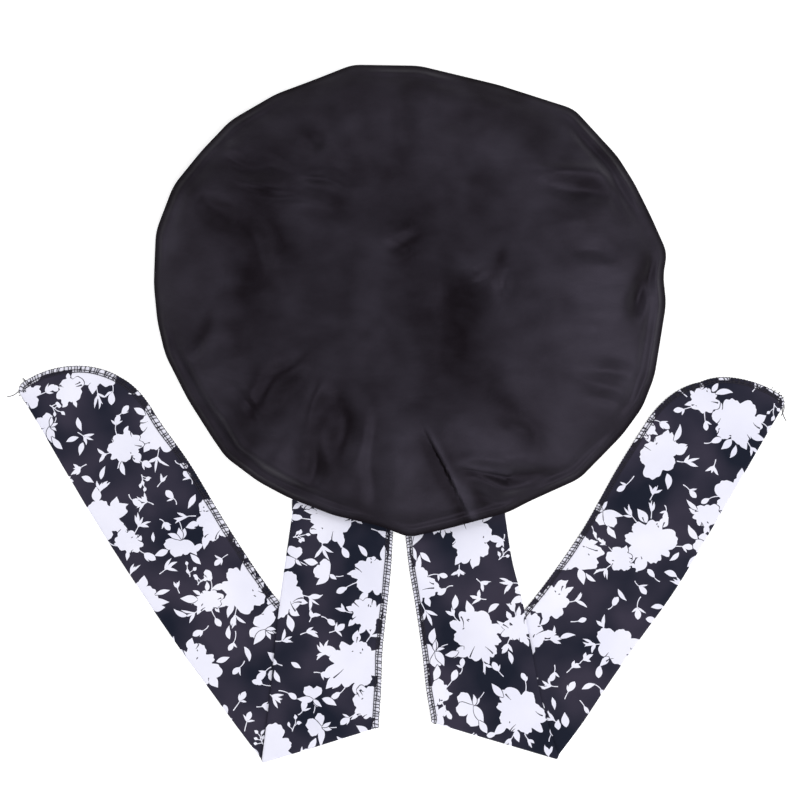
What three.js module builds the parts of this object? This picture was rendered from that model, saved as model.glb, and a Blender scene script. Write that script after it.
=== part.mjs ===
// Sleep cap: a round gathered satin crown on a band of stretch cloth whose two ends are long ties.
// It lies on a flat surface with the crown uppermost and each tie folded over once on itself.
// Millimetres, +Z up, +Y from the ties to the back of the crown. The origin is on the surface,
// under the middle of the whole cap.

import * as THREE from "three";

// Cloth
const satinWall = 1.2;
const bandCloth = 1.8; // the stretch cloth is folded double
const gap = 0.3; // between pieces that are sewn or lie together

// Crown
const crownX = 6.3;
const crownY = 84.4;
const rimRadius = 185; // the profile below is drawn for a crown of this radius
const mouthRadius = 88;
const gatherCount = 18;
const gatherHeight = 2.6;
const gatherFade = 0.1; // gathers are full up to this share of the way from the mouth to the rim
const crownSegments = 72;
const crownSteps = 2; // points from one row of the profile to the next

// Headband
const bandSegments = 56;
const bandOuterRadius = 128;

// Ties
const tieWidth = 79;
const tieHeadHeight = 6; // middle of the cloth where a tie meets the headband
const tieHeadClearance = 0.5; // between that end and the headband
const tieHeadLength = 52; // from there to the first row of the tables below, under the crown
const tieRiseFrom = 161; // a tie starts to rise this far from the crown's middle
const foldRoll = 1.6; // radius at which the middle of the cloth turns back on itself
const endCurve = 66; // the corner at the sewn edge is cut to this quarter round
const endFlat = 12; // straight part of the end, beside the folded edge
const endCorner = 7; // small round at the tip
const endReach = 80; // rows this far from the end close up towards the curve
const drapeStart = 6; // a layer stays up this far past an edge that it covers
const drapeLength = 25; // and comes down in this length
const tieColumns = 7;
const tieRowPitch = 10.5;
const rollRows = 4;

// Outline of the crown seen from above, with a row for each bulge and hollow of the rim.
// Angles in degrees from +X towards +Y, about the crown's middle.
const rimOutline = [
  { angle: 0, radius: 189.4 },
  { angle: 10, radius: 193.2 },
  { angle: 20, radius: 188.2 },
  { angle: 36, radius: 185.0 },
  { angle: 48, radius: 186.2 },
  { angle: 60, radius: 176.4 },
  { angle: 76, radius: 171.2 },
  { angle: 92, radius: 175.4 },
  { angle: 104, radius: 180.6 },
  { angle: 114, radius: 178.2 },
  { angle: 134, radius: 188.4 },
  { angle: 143, radius: 189.0 },
  { angle: 153, radius: 195.2 },
  { angle: 165, radius: 195.8 },
  { angle: 180, radius: 190.2 },
  { angle: 196, radius: 185.6 },
  { angle: 209, radius: 179.0 },
  { angle: 221, radius: 180.2 },
  { angle: 235, radius: 173.6 },
  { angle: 251, radius: 168.4 },
  { angle: 270, radius: 176.2 },
  { angle: 281, radius: 171.6 },
  { angle: 300, radius: 173.6 },
  { angle: 314, radius: 183.0 },
  { angle: 326, radius: 184.0 },
  { angle: 342, radius: 188.6 },
  { angle: 360, radius: 189.4 },
];

// Half section of the crown's outside, from the top over the rolled rim to the mouth.
const crownProfile = [
  { radius: 0, height: 50 },
  { radius: 44, height: 49 },
  { radius: 82, height: 46.2 },
  { radius: 113, height: 41.6 },
  { radius: 138, height: 35 },
  { radius: 157, height: 27.4 },
  { radius: 172, height: 19.4 },
  { radius: 185, height: 8.2 },
  { radius: 174, height: 0 },
  { radius: 140, height: 13 },
  { radius: 88, height: 17.7 },
];
const rimRow = 7; // the row of the profile that is widest

// Where the ties pass under the rim it is lifted clear of them.
const liftFrom = 238;
const liftTo = 295;
const liftEase = 14;
const liftHeight = 2.5;
const liftTop = 14; // nothing above this height is lifted

// The main folds in the top of the crown: a line from one point to the other, about the crown's
// middle, that rises or sinks by the given height and fades over the given width.
const crownFolds = [
  { x1: 12, y1: -97, x2: 54, y2: -160, rise: -4.5, width: 10 },
  { x1: 24, y1: -104, x2: 66, y2: -150, rise: 3, width: 11 },
  { x1: 40, y1: -124, x2: 104, y2: -131, rise: -3, width: 10 },
  { x1: 128, y1: -42, x2: 168, y2: -64, rise: -3, width: 11 },
  { x1: 88, y1: 96, x2: 146, y2: 92, rise: 3.5, width: 10 },
  { x1: 108, y1: 80, x2: 146, y2: 76, rise: -3.5, width: 10 },
  { x1: 166, y1: 12, x2: 168, y2: 2, rise: -4, width: 11 },
  { x1: -138, y1: 100, x2: -53, y2: 86, rise: -4, width: 11 },
  { x1: -164, y1: 74, x2: -110, y2: 8, rise: -4, width: 17 },
  { x1: -9, y1: 49, x2: 4, y2: 40, rise: -3.5, width: 20 },
  { x1: 33, y1: -15, x2: 64, y2: 22, rise: -3.5, width: 14 },
  { x1: -75, y1: -37, x2: -112, y2: -82, rise: -4, width: 12 },
  { x1: -53, y1: -74, x2: -53, y2: -134, rise: -4, width: 11 },
  { x1: -8, y1: -97, x2: -8, y2: -141, rise: 3, width: 12 },
];
const foldFadeFrom = 0.86; // folds fade out between these shares of the rim's radius
const foldFadeTo = 0.97;

// Half section through the middle of the headband's cloth. It is sewn to the crown at the
// first row, doubles outwards under the crown, and its folded edge lies on the surface.
const bandProfile = [
  { radius: 89.5, height: 13.7 },
  { radius: 104, height: 12.4 },
  { radius: 117, height: 10.2 },
  { radius: 125, height: 8 },
  { radius: 127.1, height: 5.6 },
  { radius: 124.5, height: 2.7 },
  { radius: 117, height: 0.9 },
  { radius: 105, height: 0.9 },
  { radius: 93, height: 0.9 },
];

// Each tie is given by lines straight across it, from its folded edge to its sewn edge.
// The inner leg runs from under the rim to the fold, on top, and the outer leg from there
// to the end, underneath.
const tieShapes = {
  tie_left: {
    inner: [
      { foldedX: -82.2, foldedY: -75.5, sewnX: -7.1, sewnY: -79.2 },
      { foldedX: -87.0, foldedY: -109.0, sewnX: -8.9, sewnY: -113.5 },
      { foldedX: -91.1, foldedY: -138.8, sewnX: -11.9, sewnY: -144.0 },
      { foldedX: -94.9, foldedY: -172.2, sewnX: -15.3, sewnY: -176.0 },
      { foldedX: -98.6, foldedY: -209.4, sewnX: -16.4, sewnY: -205.7 },
      { foldedX: -103.8, foldedY: -260.0, sewnX: -17.5, sewnY: -233.2 },
    ],
    outer: [
      { foldedX: -103.8, foldedY: -260.0, sewnX: -17.5, sewnY: -233.2 },
      { foldedX: -124.6, foldedY: -231.0, sewnX: -45.8, sewnY: -199.0 },
      { foldedX: -144.7, foldedY: -203.5, sewnX: -72.5, sewnY: -164.0 },
      { foldedX: -164.8, foldedY: -176.0, sewnX: -100.1, sewnY: -129.8 },
      { foldedX: -195.3, foldedY: -131.3, sewnX: -129.8, sewnY: -85.2 },
      { foldedX: -224.3, foldedY: -86.7, sewnX: -158.1, sewnY: -38.3 },
      { foldedX: -251.1, foldedY: -42.0, sewnX: -182.7, sewnY: -3.3 },
      { foldedX: -270.4, foldedY: -8.6, sewnX: -202.0, sewnY: 30.9 },
      { foldedX: -287.6, foldedY: 19.7, sewnX: -219.1, sewnY: 59.1 },
    ],
  },
  tie_right: {
    inner: [
      { foldedX: 76.3, foldedY: -75.5, sewnX: 1.5, sewnY: -79.2 },
      { foldedX: 81.5, foldedY: -109.0, sewnX: 5.2, sewnY: -113.5 },
      { foldedX: 88.5, foldedY: -136.5, sewnX: 10.0, sewnY: -142.5 },
      { foldedX: 95.6, foldedY: -172.2, sewnX: 14.9, sewnY: -176.0 },
      { foldedX: 103.0, foldedY: -210.9, sewnX: 18.2, sewnY: -205.7 },
      { foldedX: 114.9, foldedY: -257.1, sewnX: 21.2, sewnY: -229.5 },
    ],
    outer: [
      { foldedX: 114.9, foldedY: -257.1, sewnX: 21.2, sewnY: -229.5 },
      { foldedX: 132.8, foldedY: -231.7, sewnX: 48.7, sewnY: -197.5 },
      { foldedX: 153.6, foldedY: -200.5, sewnX: 76.3, sewnY: -164.0 },
      { foldedX: 174.5, foldedY: -170.7, sewnX: 103.0, sewnY: -131.3 },
      { foldedX: 202.7, foldedY: -131.3, sewnX: 132.8, sewnY: -88.9 },
      { foldedX: 229.5, foldedY: -86.7, sewnX: 160.7, sewnY: -39.8 },
      { foldedX: 255.6, foldedY: -42.0, sewnX: 185.6, sewnY: -0.4 },
      { foldedX: 274.9, foldedY: -8.6, sewnX: 206.5, sewnY: 31.6 },
      { foldedX: 286.1, foldedY: 10.4, sewnX: 217.7, sewnY: 50.4 },
    ],
  },
};
const coveredRow = 3; // the outer leg's sewn edge is straight from its first row to this one

// Materials
const satin = new THREE.MeshStandardMaterial({ color: 0x1d1b22, roughness: 0.38, metalness: 0 });
const knit = new THREE.MeshStandardMaterial({ color: 0x8d8b93, roughness: 0.85, metalness: 0 });

// Small functions

function smoothstep(from, to, value) {
  return THREE.MathUtils.smoothstep(value, from, to);
}

function radians(degrees) {
  return THREE.MathUtils.degToRad(degrees);
}

// The rim's radius at an angle, rounded at each row of its table.
function rimAt(angle) {
  const turned = THREE.MathUtils.euclideanModulo(angle, 360);
  const next = rimOutline.findIndex((row) => row.angle > turned);
  const high = rimOutline[next];
  const low = rimOutline[next - 1];
  return THREE.MathUtils.lerp(low.radius, high.radius, smoothstep(low.angle, high.angle, turned));
}

// How much the rim is lifted at an angle, from 0 to 1.
function liftAt(angle) {
  const turned = THREE.MathUtils.euclideanModulo(angle, 360);
  const rise = smoothstep(liftFrom - liftEase, liftFrom, turned);
  return rise * (1 - smoothstep(liftTo, liftTo + liftEase, turned));
}

// Distance from a point to a line between two others.
function distanceToLine(x, y, fold) {
  const dx = fold.x2 - fold.x1;
  const dy = fold.y2 - fold.y1;
  const along = ((x - fold.x1) * dx + (y - fold.y1) * dy) / (dx * dx + dy * dy);
  const nearest = THREE.MathUtils.clamp(along, 0, 1);
  return Math.hypot(x - fold.x1 - nearest * dx, y - fold.y1 - nearest * dy);
}

// Rise of the crown's top from its main folds.
function foldHeight(x, y) {
  let height = 0;
  for (const fold of crownFolds) {
    const distance = distanceToLine(x, y, fold) / fold.width;
    height += fold.rise * Math.exp(-distance * distance);
  }
  return height;
}

// Points along a smooth half section through the rows of a profile table.
function sectionPoints(rows, steps) {
  const curve = new THREE.SplineCurve(rows.map((row) => new THREE.Vector2(row.radius, row.height)));
  return curve.getPoints((rows.length - 1) * steps);
}

// The same points moved sideways, to the left of the direction of travel when distance is positive.
function offsetPoints(points, distance) {
  return points.map((point, i) => {
    const before = points[Math.max(i - 1, 0)];
    const after = points[Math.min(i + 1, points.length - 1)];
    const along = new THREE.Vector2().subVectors(after, before).normalize();
    const side = new THREE.Vector2(-along.y, along.x);
    return point.clone().addScaledVector(side, distance);
  });
}

// A lathe with its axis along +Z. Its section goes out along the inside and back along the outside.
function latheUp(points, segments) {
  const geometry = new THREE.LatheGeometry(points, segments);
  geometry.rotateX(Math.PI / 2);
  return geometry;
}

function moveVertices(geometry, move) {
  const position = geometry.attributes.position;
  const point = new THREE.Vector3();
  for (let i = 0; i < position.count; i += 1) {
    point.fromBufferAttribute(position, i);
    move(point, i);
    position.setXYZ(i, point.x, point.y, point.z);
  }
  geometry.computeVertexNormals();
  return geometry;
}

// Crown

function makeCrown() {
  const outside = sectionPoints(crownProfile, crownSteps);
  const inside = offsetPoints(outside, -satinWall);
  outside[0].x = 0;
  inside[0].x = 0;
  const section = [...inside, ...outside.reverse()];
  const rimPoint = rimRow * crownSteps;
  const topPoints = new Set();
  for (let i = 0; i <= rimPoint; i += 1) {
    topPoints.add(i);
    topPoints.add(section.length - 1 - i);
  }
  const geometry = latheUp(section, crownSegments);
  moveVertices(geometry, (point, i) => {
    const radius = Math.hypot(point.x, point.y);
    const angle = THREE.MathUtils.radToDeg(Math.atan2(point.y, point.x));
    const rim = rimAt(angle);
    const isTop = topPoints.has(i % section.length);
    const share = radius / rimRadius;
    const underShare = (radius - mouthRadius) / (rimRadius - mouthRadius);
    const placed = isTop ? share * rim : mouthRadius + underShare * (rim - mouthRadius);
    const scale = radius > 0 ? placed / radius : 1;
    point.x *= scale;
    point.y *= scale;
    if (isTop) {
      const fade = 1 - smoothstep(foldFadeFrom, foldFadeTo, share);
      point.z += fade * foldHeight(point.x, point.y);
    } else {
      const gathered = 1 - smoothstep(gatherFade, 1, underShare);
      point.z -= gathered * gatherHeight * (0.5 - 0.5 * Math.cos(radians(angle * gatherCount)));
    }
    const low = 1 - smoothstep(0, liftTop, point.z);
    point.z += liftAt(angle) * liftHeight * low;
    point.x += crownX;
    point.y += crownY;
  });
  return geometry;
}

// Headband

function makeHeadband() {
  const middle = sectionPoints(bandProfile, 1);
  const outside = offsetPoints(middle, bandCloth / 2);
  const inside = offsetPoints(middle, -bandCloth / 2);
  const section = [...inside, ...outside.reverse(), inside[0].clone()];
  const geometry = latheUp(section, bandSegments);
  geometry.translate(crownX, crownY, 0);
  return geometry;
}

// Ties

// A leg of a tie: its two edges as curves, and the distance along its middle to each row.
function makeLeg(rows) {
  const corners = (x, y) => rows.map((row) => new THREE.Vector3(row[x], row[y], 0));
  const reached = [0];
  for (let i = 1; i < rows.length; i += 1) {
    const dx = (rows[i].foldedX + rows[i].sewnX - rows[i - 1].foldedX - rows[i - 1].sewnX) / 2;
    const dy = (rows[i].foldedY + rows[i].sewnY - rows[i - 1].foldedY - rows[i - 1].sewnY) / 2;
    reached.push(reached[i - 1] + Math.hypot(dx, dy));
  }
  return {
    folded: new THREE.CatmullRomCurve3(corners("foldedX", "foldedY")),
    sewn: new THREE.CatmullRomCurve3(corners("sewnX", "sewnY")),
    reached,
    length: reached[reached.length - 1],
  };
}

// A point of a leg seen from above, at a distance along it and a share of the way across it.
function legPoint(leg, distance, across) {
  const last = leg.reached.length - 1;
  const clamped = THREE.MathUtils.clamp(distance, 0, leg.length);
  let row = 0;
  while (row < last - 1 && leg.reached[row + 1] < clamped) {
    row += 1;
  }
  const share = (clamped - leg.reached[row]) / (leg.reached[row + 1] - leg.reached[row]);
  const at = (row + share) / last;
  return leg.folded.getPoint(at).lerp(leg.sewn.getPoint(at), across);
}

// How far the end is cut back at a share of the way across.
function endCut(across) {
  const place = across * tieWidth;
  if (place < endCorner) {
    const left = (endCorner - place) / endCorner;
    return endCorner * (1 - Math.sqrt(1 - left * left));
  }
  const over = Math.max(place - endFlat, 0) / (tieWidth - endFlat);
  return endCurve * (1 - Math.sqrt(Math.max(1 - over * over, 0)));
}

// The two rows at the fold, moved in by the roll so that its outside lies on the given line.
function movedIn(rows, index) {
  const row = rows[index];
  const dx = row.sewnX - row.foldedX;
  const dy = row.sewnY - row.foldedY;
  const length = Math.hypot(dx, dy);
  const side = Math.sign(dx);
  const inward = { x: (-dy / length) * side, y: (dx / length) * side };
  const depth = foldRoll + bandCloth / 2;
  const moved = {
    foldedX: row.foldedX + inward.x * depth,
    foldedY: row.foldedY + inward.y * depth,
    sewnX: row.sewnX + inward.x * depth,
    sewnY: row.sewnY + inward.y * depth,
  };
  return { rows: rows.map((other, i) => (i === index ? moved : other)), inward };
}

function makeTie(shape) {
  const innerEnd = movedIn(shape.inner, shape.inner.length - 1);
  const outerEnd = movedIn(shape.outer, 0);
  const inner = makeLeg(innerEnd.rows);
  const outer = makeLeg(outerEnd.rows);
  const inward = innerEnd.inward;
  const hand = Math.sign(shape.inner[0].sewnX - shape.inner[0].foldedX);
  const floor = bandCloth / 2;
  const lift = bandCloth + gap;

  // The angles about the crown's middle at which the two edges leave the headband.
  const headStart = { x: shape.inner[0].foldedX - crownX, y: shape.inner[0].foldedY - crownY };
  const headEnd = { x: shape.inner[0].sewnX - crownX, y: shape.inner[0].sewnY - crownY };
  const headRadius = bandOuterRadius + tieHeadClearance;
  const foldedTop = Math.acos(headStart.x / headRadius);
  const sewnTop = Math.acos(headEnd.x / headRadius);

  // The sewn edge of the outer leg, where the inner leg covers it.
  const edgeStart = outerEnd.rows[0];
  const edgeEnd = outerEnd.rows[coveredRow];
  const edge = new THREE.Vector2(edgeEnd.sewnX - edgeStart.sewnX, edgeEnd.sewnY - edgeStart.sewnY);
  edge.normalize();
  const beyond = new THREE.Vector2(edge.y, -edge.x);
  beyond.multiplyScalar(hand * Math.sign(beyond.x));

  const rollLength = Math.PI * foldRoll;
  const innerLength = tieHeadLength + inner.length;
  const outerStart = innerLength + rollLength;
  const total = outerStart + outer.length;

  function headPoint(along, across) {
    const angle = THREE.MathUtils.lerp(foldedTop, sewnTop, across);
    const top = new THREE.Vector3(
      crownX + headRadius * Math.cos(angle),
      crownY - headRadius * Math.sin(angle),
      0,
    );
    return top.lerp(legPoint(inner, 0, across), along / tieHeadLength);
  }

  function innerHeight(point, toFold) {
    const fromEdge =
      (point.x - edgeStart.sewnX) * beyond.x + (point.y - edgeStart.sewnY) * beyond.y;
    const over = 1 - smoothstep(drapeStart, drapeStart + drapeLength, fromEdge);
    const near = 1 - smoothstep(0, drapeLength, toFold);
    const rolled = 2 * foldRoll;
    const onFloor = THREE.MathUtils.lerp(lift * over, rolled, near);
    const fromMiddle = Math.hypot(point.x - crownX, point.y - crownY);
    const head = 1 - smoothstep(headRadius, tieRiseFrom, fromMiddle);
    return floor + onFloor + head * (tieHeadHeight - floor);
  }

  // A point on the middle of the cloth.
  function middlePoint(along, across) {
    if (along < innerLength) {
      const point =
        along < tieHeadLength
          ? headPoint(along, across)
          : legPoint(inner, along - tieHeadLength, across);
      point.z = innerHeight(point, innerLength - along);
      return point;
    }
    if (along < outerStart) {
      const turn = (along - innerLength) / foldRoll;
      const point = legPoint(inner, inner.length, across);
      point.x -= inward.x * foldRoll * Math.sin(turn);
      point.y -= inward.y * foldRoll * Math.sin(turn);
      point.z = floor + foldRoll + foldRoll * Math.cos(turn);
      return point;
    }
    const fromEnd = total - along;
    const squeeze = Math.max(1 - fromEnd / endReach, 0);
    const point = legPoint(outer, outer.length - fromEnd - endCut(across) * squeeze, across);
    point.z = floor;
    return point;
  }

  // Rows along the cloth: even steps on the legs and close ones round the fold.
  const innerRows = Math.round(innerLength / tieRowPitch);
  const outerRows = Math.round(outer.length / tieRowPitch);
  const rows = innerRows + rollRows + outerRows;
  function rowPlace(row) {
    if (row <= innerRows) {
      return (innerLength * row) / innerRows;
    }
    if (row <= innerRows + rollRows) {
      return innerLength + (rollLength * (row - innerRows)) / rollRows;
    }
    return outerStart + (outer.length * (row - innerRows - rollRows)) / outerRows;
  }

  // Columns stand closer together towards the sewn edge, where the end is curved.
  function columnPlace(column) {
    const share = column / tieColumns;
    return 0.5 * share + 0.5 * Math.sin((share * Math.PI) / 2);
  }

  const probe = 0.02; // distance and share at which the slope of the cloth is measured
  const geometry = new THREE.BoxGeometry(1, 1, 1, tieColumns, rows, 1);
  moveVertices(geometry, (point) => {
    const row = Math.round((0.5 - point.y) * rows);
    const column = Math.round((point.x + 0.5) * tieColumns);
    const side = point.z * bandCloth * hand;
    const along = rowPlace(row);
    const across = columnPlace(column);
    const here = middlePoint(along, across);
    const ahead = middlePoint(Math.min(along + probe, total), across);
    const behind = middlePoint(Math.max(along - probe, 0), across);
    const left = middlePoint(along, Math.max(across - probe, 0));
    const right = middlePoint(along, Math.min(across + probe, 1));
    const travel = ahead.sub(behind);
    const cross = right.sub(left);
    const normal = cross.cross(travel.multiplyScalar(-hand)).normalize();
    point.copy(here.addScaledVector(normal, side));
  });
  return geometry;
}

// Assembly

function addPiece(group, name, geometry, material) {
  const mesh = new THREE.Mesh(geometry, material);
  mesh.name = name;
  group.add(mesh);
}

const sleepCap = new THREE.Group();
addPiece(sleepCap, "crown", makeCrown(), satin);
addPiece(sleepCap, "headband", makeHeadband(), knit);
for (const [name, shape] of Object.entries(tieShapes)) {
  addPiece(sleepCap, name, makeTie(shape), knit);
}

// The origin is under the middle of the whole cap, on the surface.
const extent = new THREE.Box3().setFromObject(sleepCap);
const middle = extent.getCenter(new THREE.Vector3());
sleepCap.position.set(-middle.x, -middle.y, -extent.min.z);

export default sleepCap;
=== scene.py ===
"""A satin sleep cap with two long printed ties, lying on a pale surface with its crown uppermost.

The tables and numbers below are in millimetres where they don't say metres. The settings that a user
changes and the finished meshes are in metres.
"""

import math
import random

import bmesh
import bpy
import numpy as np
from bpy.props import FloatProperty, FloatVectorProperty, IntProperty, PointerProperty
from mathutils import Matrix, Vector, geometry, noise


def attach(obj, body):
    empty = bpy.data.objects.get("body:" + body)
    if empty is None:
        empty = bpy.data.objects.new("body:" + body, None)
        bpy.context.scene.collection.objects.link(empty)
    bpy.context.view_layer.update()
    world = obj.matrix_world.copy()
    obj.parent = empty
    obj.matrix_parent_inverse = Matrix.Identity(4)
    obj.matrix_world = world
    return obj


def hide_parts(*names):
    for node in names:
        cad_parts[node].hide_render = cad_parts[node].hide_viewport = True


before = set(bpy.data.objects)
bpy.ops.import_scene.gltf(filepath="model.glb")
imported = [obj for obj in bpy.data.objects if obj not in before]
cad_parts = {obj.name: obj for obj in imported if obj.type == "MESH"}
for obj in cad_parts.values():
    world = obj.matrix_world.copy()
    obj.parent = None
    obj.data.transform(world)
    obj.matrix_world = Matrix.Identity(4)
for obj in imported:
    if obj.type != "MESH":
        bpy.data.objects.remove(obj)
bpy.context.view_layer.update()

bl_info = {
    "name": "Sleep Cap",
    "version": (1, 0, 0),
    "blender": (4, 5, 0),
    "location": "3D View > Sidebar > Sleep Cap",
    "description": "Makes a satin sleep cap with printed ties, and the stage that it lies on",
    "category": "Add Mesh",
}

MM = 0.001

# Places shared with the solids

CROWN_X = 6.3
CROWN_Y = 84.4
RIM_RADIUS = 185.0
MOUTH_RADIUS = 88.0
BAND_OUTER_RADIUS = 128.0
BAND_CLOTH = 1.8
GAP = 0.3
TIE_WIDTH = 79.0
TIE_HEAD_HEIGHT = 6.0
TIE_HEAD_CLEARANCE = 0.5
TIE_HEAD_LENGTH = 52.0
TIE_RISE_FROM = 161.0
FOLD_ROLL = 1.6
END_CURVE = 66.0
END_FLAT = 12.0
END_CORNER = 7.0

# The crown's outline from above: corners of the rim, with nearly straight edges between them.
# Angle in degrees about the crown's middle, and radius.
RIM_CORNERS = (
    (5.6, 188.0), (10.4, 193.3), (19.5, 188.4), (27.5, 187.0), (34.8, 186.6), (49.5, 186.2),
    (67.9, 172.2), (88.0, 173.8), (104.0, 179.8), (114.4, 178.5), (123.3, 182.7), (135.2, 188.9),
    (144.6, 190.8), (154.3, 195.7), (165.0, 196.0), (170.0, 193.0), (176.7, 191.2), (185.0, 188.9),
    (192.6, 186.9), (204.0, 181.4), (214.9, 179.6), (220.3, 180.5), (230.0, 176.2), (238.0, 172.8),
    (250.1, 169.9), (262.4, 169.6), (269.5, 176.3), (279.7, 171.8), (294.6, 173.4), (300.4, 173.4),
    (313.3, 182.4), (327.4, 186.2), (335.1, 189.4), (342.6, 189.4), (359.1, 189.4),
)

# Half section of the crown from the top over the rolled rim to the mouth: radius, height.
CROWN_PROFILE = (
    (0, 50), (44, 49), (82, 46.2), (113, 41.6), (138, 35), (157, 27.4), (172, 19.4), (185, 8.2),
    (174, 0), (140, 13), (88, 17.7),
)
RIM_ROW = 7

# Folds of the crown's top: two ends about its middle, rise, width. A negative rise is a hollow.
CROWN_FOLDS = (
    (40, -124, 104, -131, -2.6, 6), (38, -133, 92, -140, 2.2, 5), (30, -118, 96, -120, 1.8, 7),
    (44, -146, 78, -152, -1.6, 4), (128, -42, 168, -60, -2.2, 5), (124, -52, 162, -72, 1.6, 5),
    (130, -66, 160, -78, -1.4, 4), (86, 96, 150, 92, 3.2, 7), (100, 80, 150, 77, -3.4, 7),
    (100, 122, 118, 140, -1.4, 6), (160, 62, 150, 84, -1.2, 5), (172, 16, 166, -14, -4.0, 8),
    (183, 22, 180, -24, 1.6, 5), (-140, 104, -88, 92, -2.6, 6), (-88, 92, -44, 84, -2.6, 6),
    (-130, 90, -92, 78, 1.8, 5), (-118, 80, -58, 70, -2.2, 5), (-150, 116, -112, 108, 1.4, 6),
    (-152, 70, -130, 60, -2.6, 8), (-122, 62, -112, 8, -4.2, 15), (-166, -34, -158, -40, -2.4, 8),
    (-9, 52, 2, 36, -3.6, 15), (10, 36, 38, -26, -3.2, 18), (68, 20, 70, 0, -2.6, 7),
    (44, 26, 50, 14, 1.6, 8), (-78, -40, -118, -86, -4.0, 10), (-64, -54, -84, -104, 1.8, 8),
    (-54, -70, -50, -124, -4.2, 13), (-70, -100, -74, -138, -2.6, 7), (-92, -104, -104, -134, 2.4, 12),
    (-8, -92, -6, -146, 3.0, 10), (-26, -84, -28, -150, -1.8, 8), (70, -84, 84, -112, -2.2, 8),
    (90, -100, 112, -116, -1.8, 8), (-146, -78, -118, -112, 1.6, 5), (-134, -62, -108, -92, -1.5, 4),
    (20, 96, 60, 92, -1.4, 12), (-80, 120, -62, 112, -2.0, 9), (0, 128, 60, 130, -1.4, 14),
    (120, 36, 150, 30, -1.8, 9), (110, -6, 150, -14, 1.6, 10), (96, 50, 130, 58, 1.6, 9),
)

# Laps, where the satin on the right of a line lies over the satin on its left: two ends, rise, reach.
CROWN_LAPS = (
    (6, -88, 46, -166, 2.4, 15),
    (30, -123, 74, -131, 1.2, 7),
)

# How these tables are read: the width of a lap's step, how far off the mesh is drawn in towards it,
# how far the rows wander and over what length, and factors on the folds' rise and width.
LAP_STEP = 2.2
LAP_PULL = 9.0
CLOTH_WANDER = 9.0
WANDER_LENGTH = 34.0
WANDER_LAYERS = (8.1, 14.6)
FOLD_RISE = 1.35
FOLD_WIDTH = 0.82

# Painted sheen and painted shade on the crown: soft places where the satin's colour is made lighter, for
# its soft highlights,
# or darker, for its shaded hollows: x, y, length, width, heading, strength.
CROWN_SHEEN_SHADE = (
    (-112, 30, 78, 32, 84, -1.15), (-1, 47, 44, 24, 80, -0.9), (29, -20, 76, 38, 72, -1.0),
    (62, -68, 60, 26, -50, -0.7), (64, 25, 28, 11, 76, -0.8), (-100, -68, 70, 26, 50, -1.1),
    (-55, -89, 62, 26, 84, -0.9), (-77, -116, 44, 15, 78, -0.8), (-55, 69, 24, 20, 60, -0.5),
    (-135, 62, 30, 16, -30, -0.7), (-155, -22, 24, 16, 60, -0.9), (170, 17, 46, 14, 76, -1.5),
    (134, 84, 46, 11, -8, -0.9), (144, 106, 30, 14, -50, -0.7), (86, 117, 38, 28, 80, -0.6),
    (-83, 112, 42, 32, 10, -0.4), (49, 89, 20, 12, 0, -0.5), (81, -97, 36, 15, -60, -0.5),
    (86, -129, 46, 11, 5, -0.8), (22, -124, 40, 16, -68, -0.8), (-10, 118, 60, 60, 0, -0.2),
    (42, 27, 26, 20, 40, 0.8), (-38, 0, 90, 56, 80, 0.3), (6, 8, 56, 40, 80, -0.35),
    (-6, -112, 56, 24, 86, 0.7), (-130, -57, 44, 30, 40, 0.5), (-95, -104, 30, 26, 60, 0.5),
    (134, -6, 84, 46, 84, 0.45),
    (79, -6, 26, 18, 40, 0.4), (59, 106, 50, 30, 0, 0.6), (54, -102, 46, 26, 30, 0.4),
    (-172, 67, 30, 12, 74, 0.7), (160, -60, 40, 20, 70, 0.6), (-40, 74, 40, 24, 60, 0.3),
    (112, -110, 60, 30, 40, 0.4), (118, 122, 50, 14, -52, 0.3), (10, -148, 50, 12, 5, 0.3),
    (42, -147, 16, 8, -60, 1.2), (53, -149, 14, 9, -60, -1.0), (181, -14, 80, 12, 90, 0.8),
    (-178, 40, 64, 12, 84, 0.5),
)

# How strong that painted sheen and shade is, how dark the painted shade at the rim is, and the shares of
# the rim's radius between which that painted shade darkens it, above and below.
SHEEN_SHADE_DEPTH = 0.5
RIM_SHADE = 0.8
RIM_SHADE_ABOVE = (0.97, 1.0)
RIM_SHADE_BELOW = (0.84, 0.97)

# Soft ridges that run beside the rim: from angle, to angle, inset, rise, width.
RIM_RIDGES = (
    (182, 262, 5, 1.4, 1.8), (186, 258, 9.5, -1.7, 2.6), (190, 250, 15, 0.9, 3.0),
    (18, 54, 6, 1.4, 2.0), (18, 50, 12, -2.2, 3.4), (-32, 14, 6, 1.2, 1.8), (-32, 14, 11.5, -1.6, 3.0),
    (262, 302, 5, 0.9, 1.8), (264, 298, 9, -0.9, 2.4), (76, 104, 6, 0.9, 2.2), (120, 176, 6, 0.9, 2.2),
    (300, 330, 6, 1.2, 2.0), (302, 328, 11, -1.2, 2.6),
)

# Half section through the middle of the headband's cloth: radius, height.
BAND_PROFILE = (
    (89.5, 13.7), (104, 12.4), (117, 10.2), (125, 8), (127.1, 5.6), (124.5, 2.7), (117, 0.9),
    (105, 0.9), (93, 0.9),
)

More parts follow.
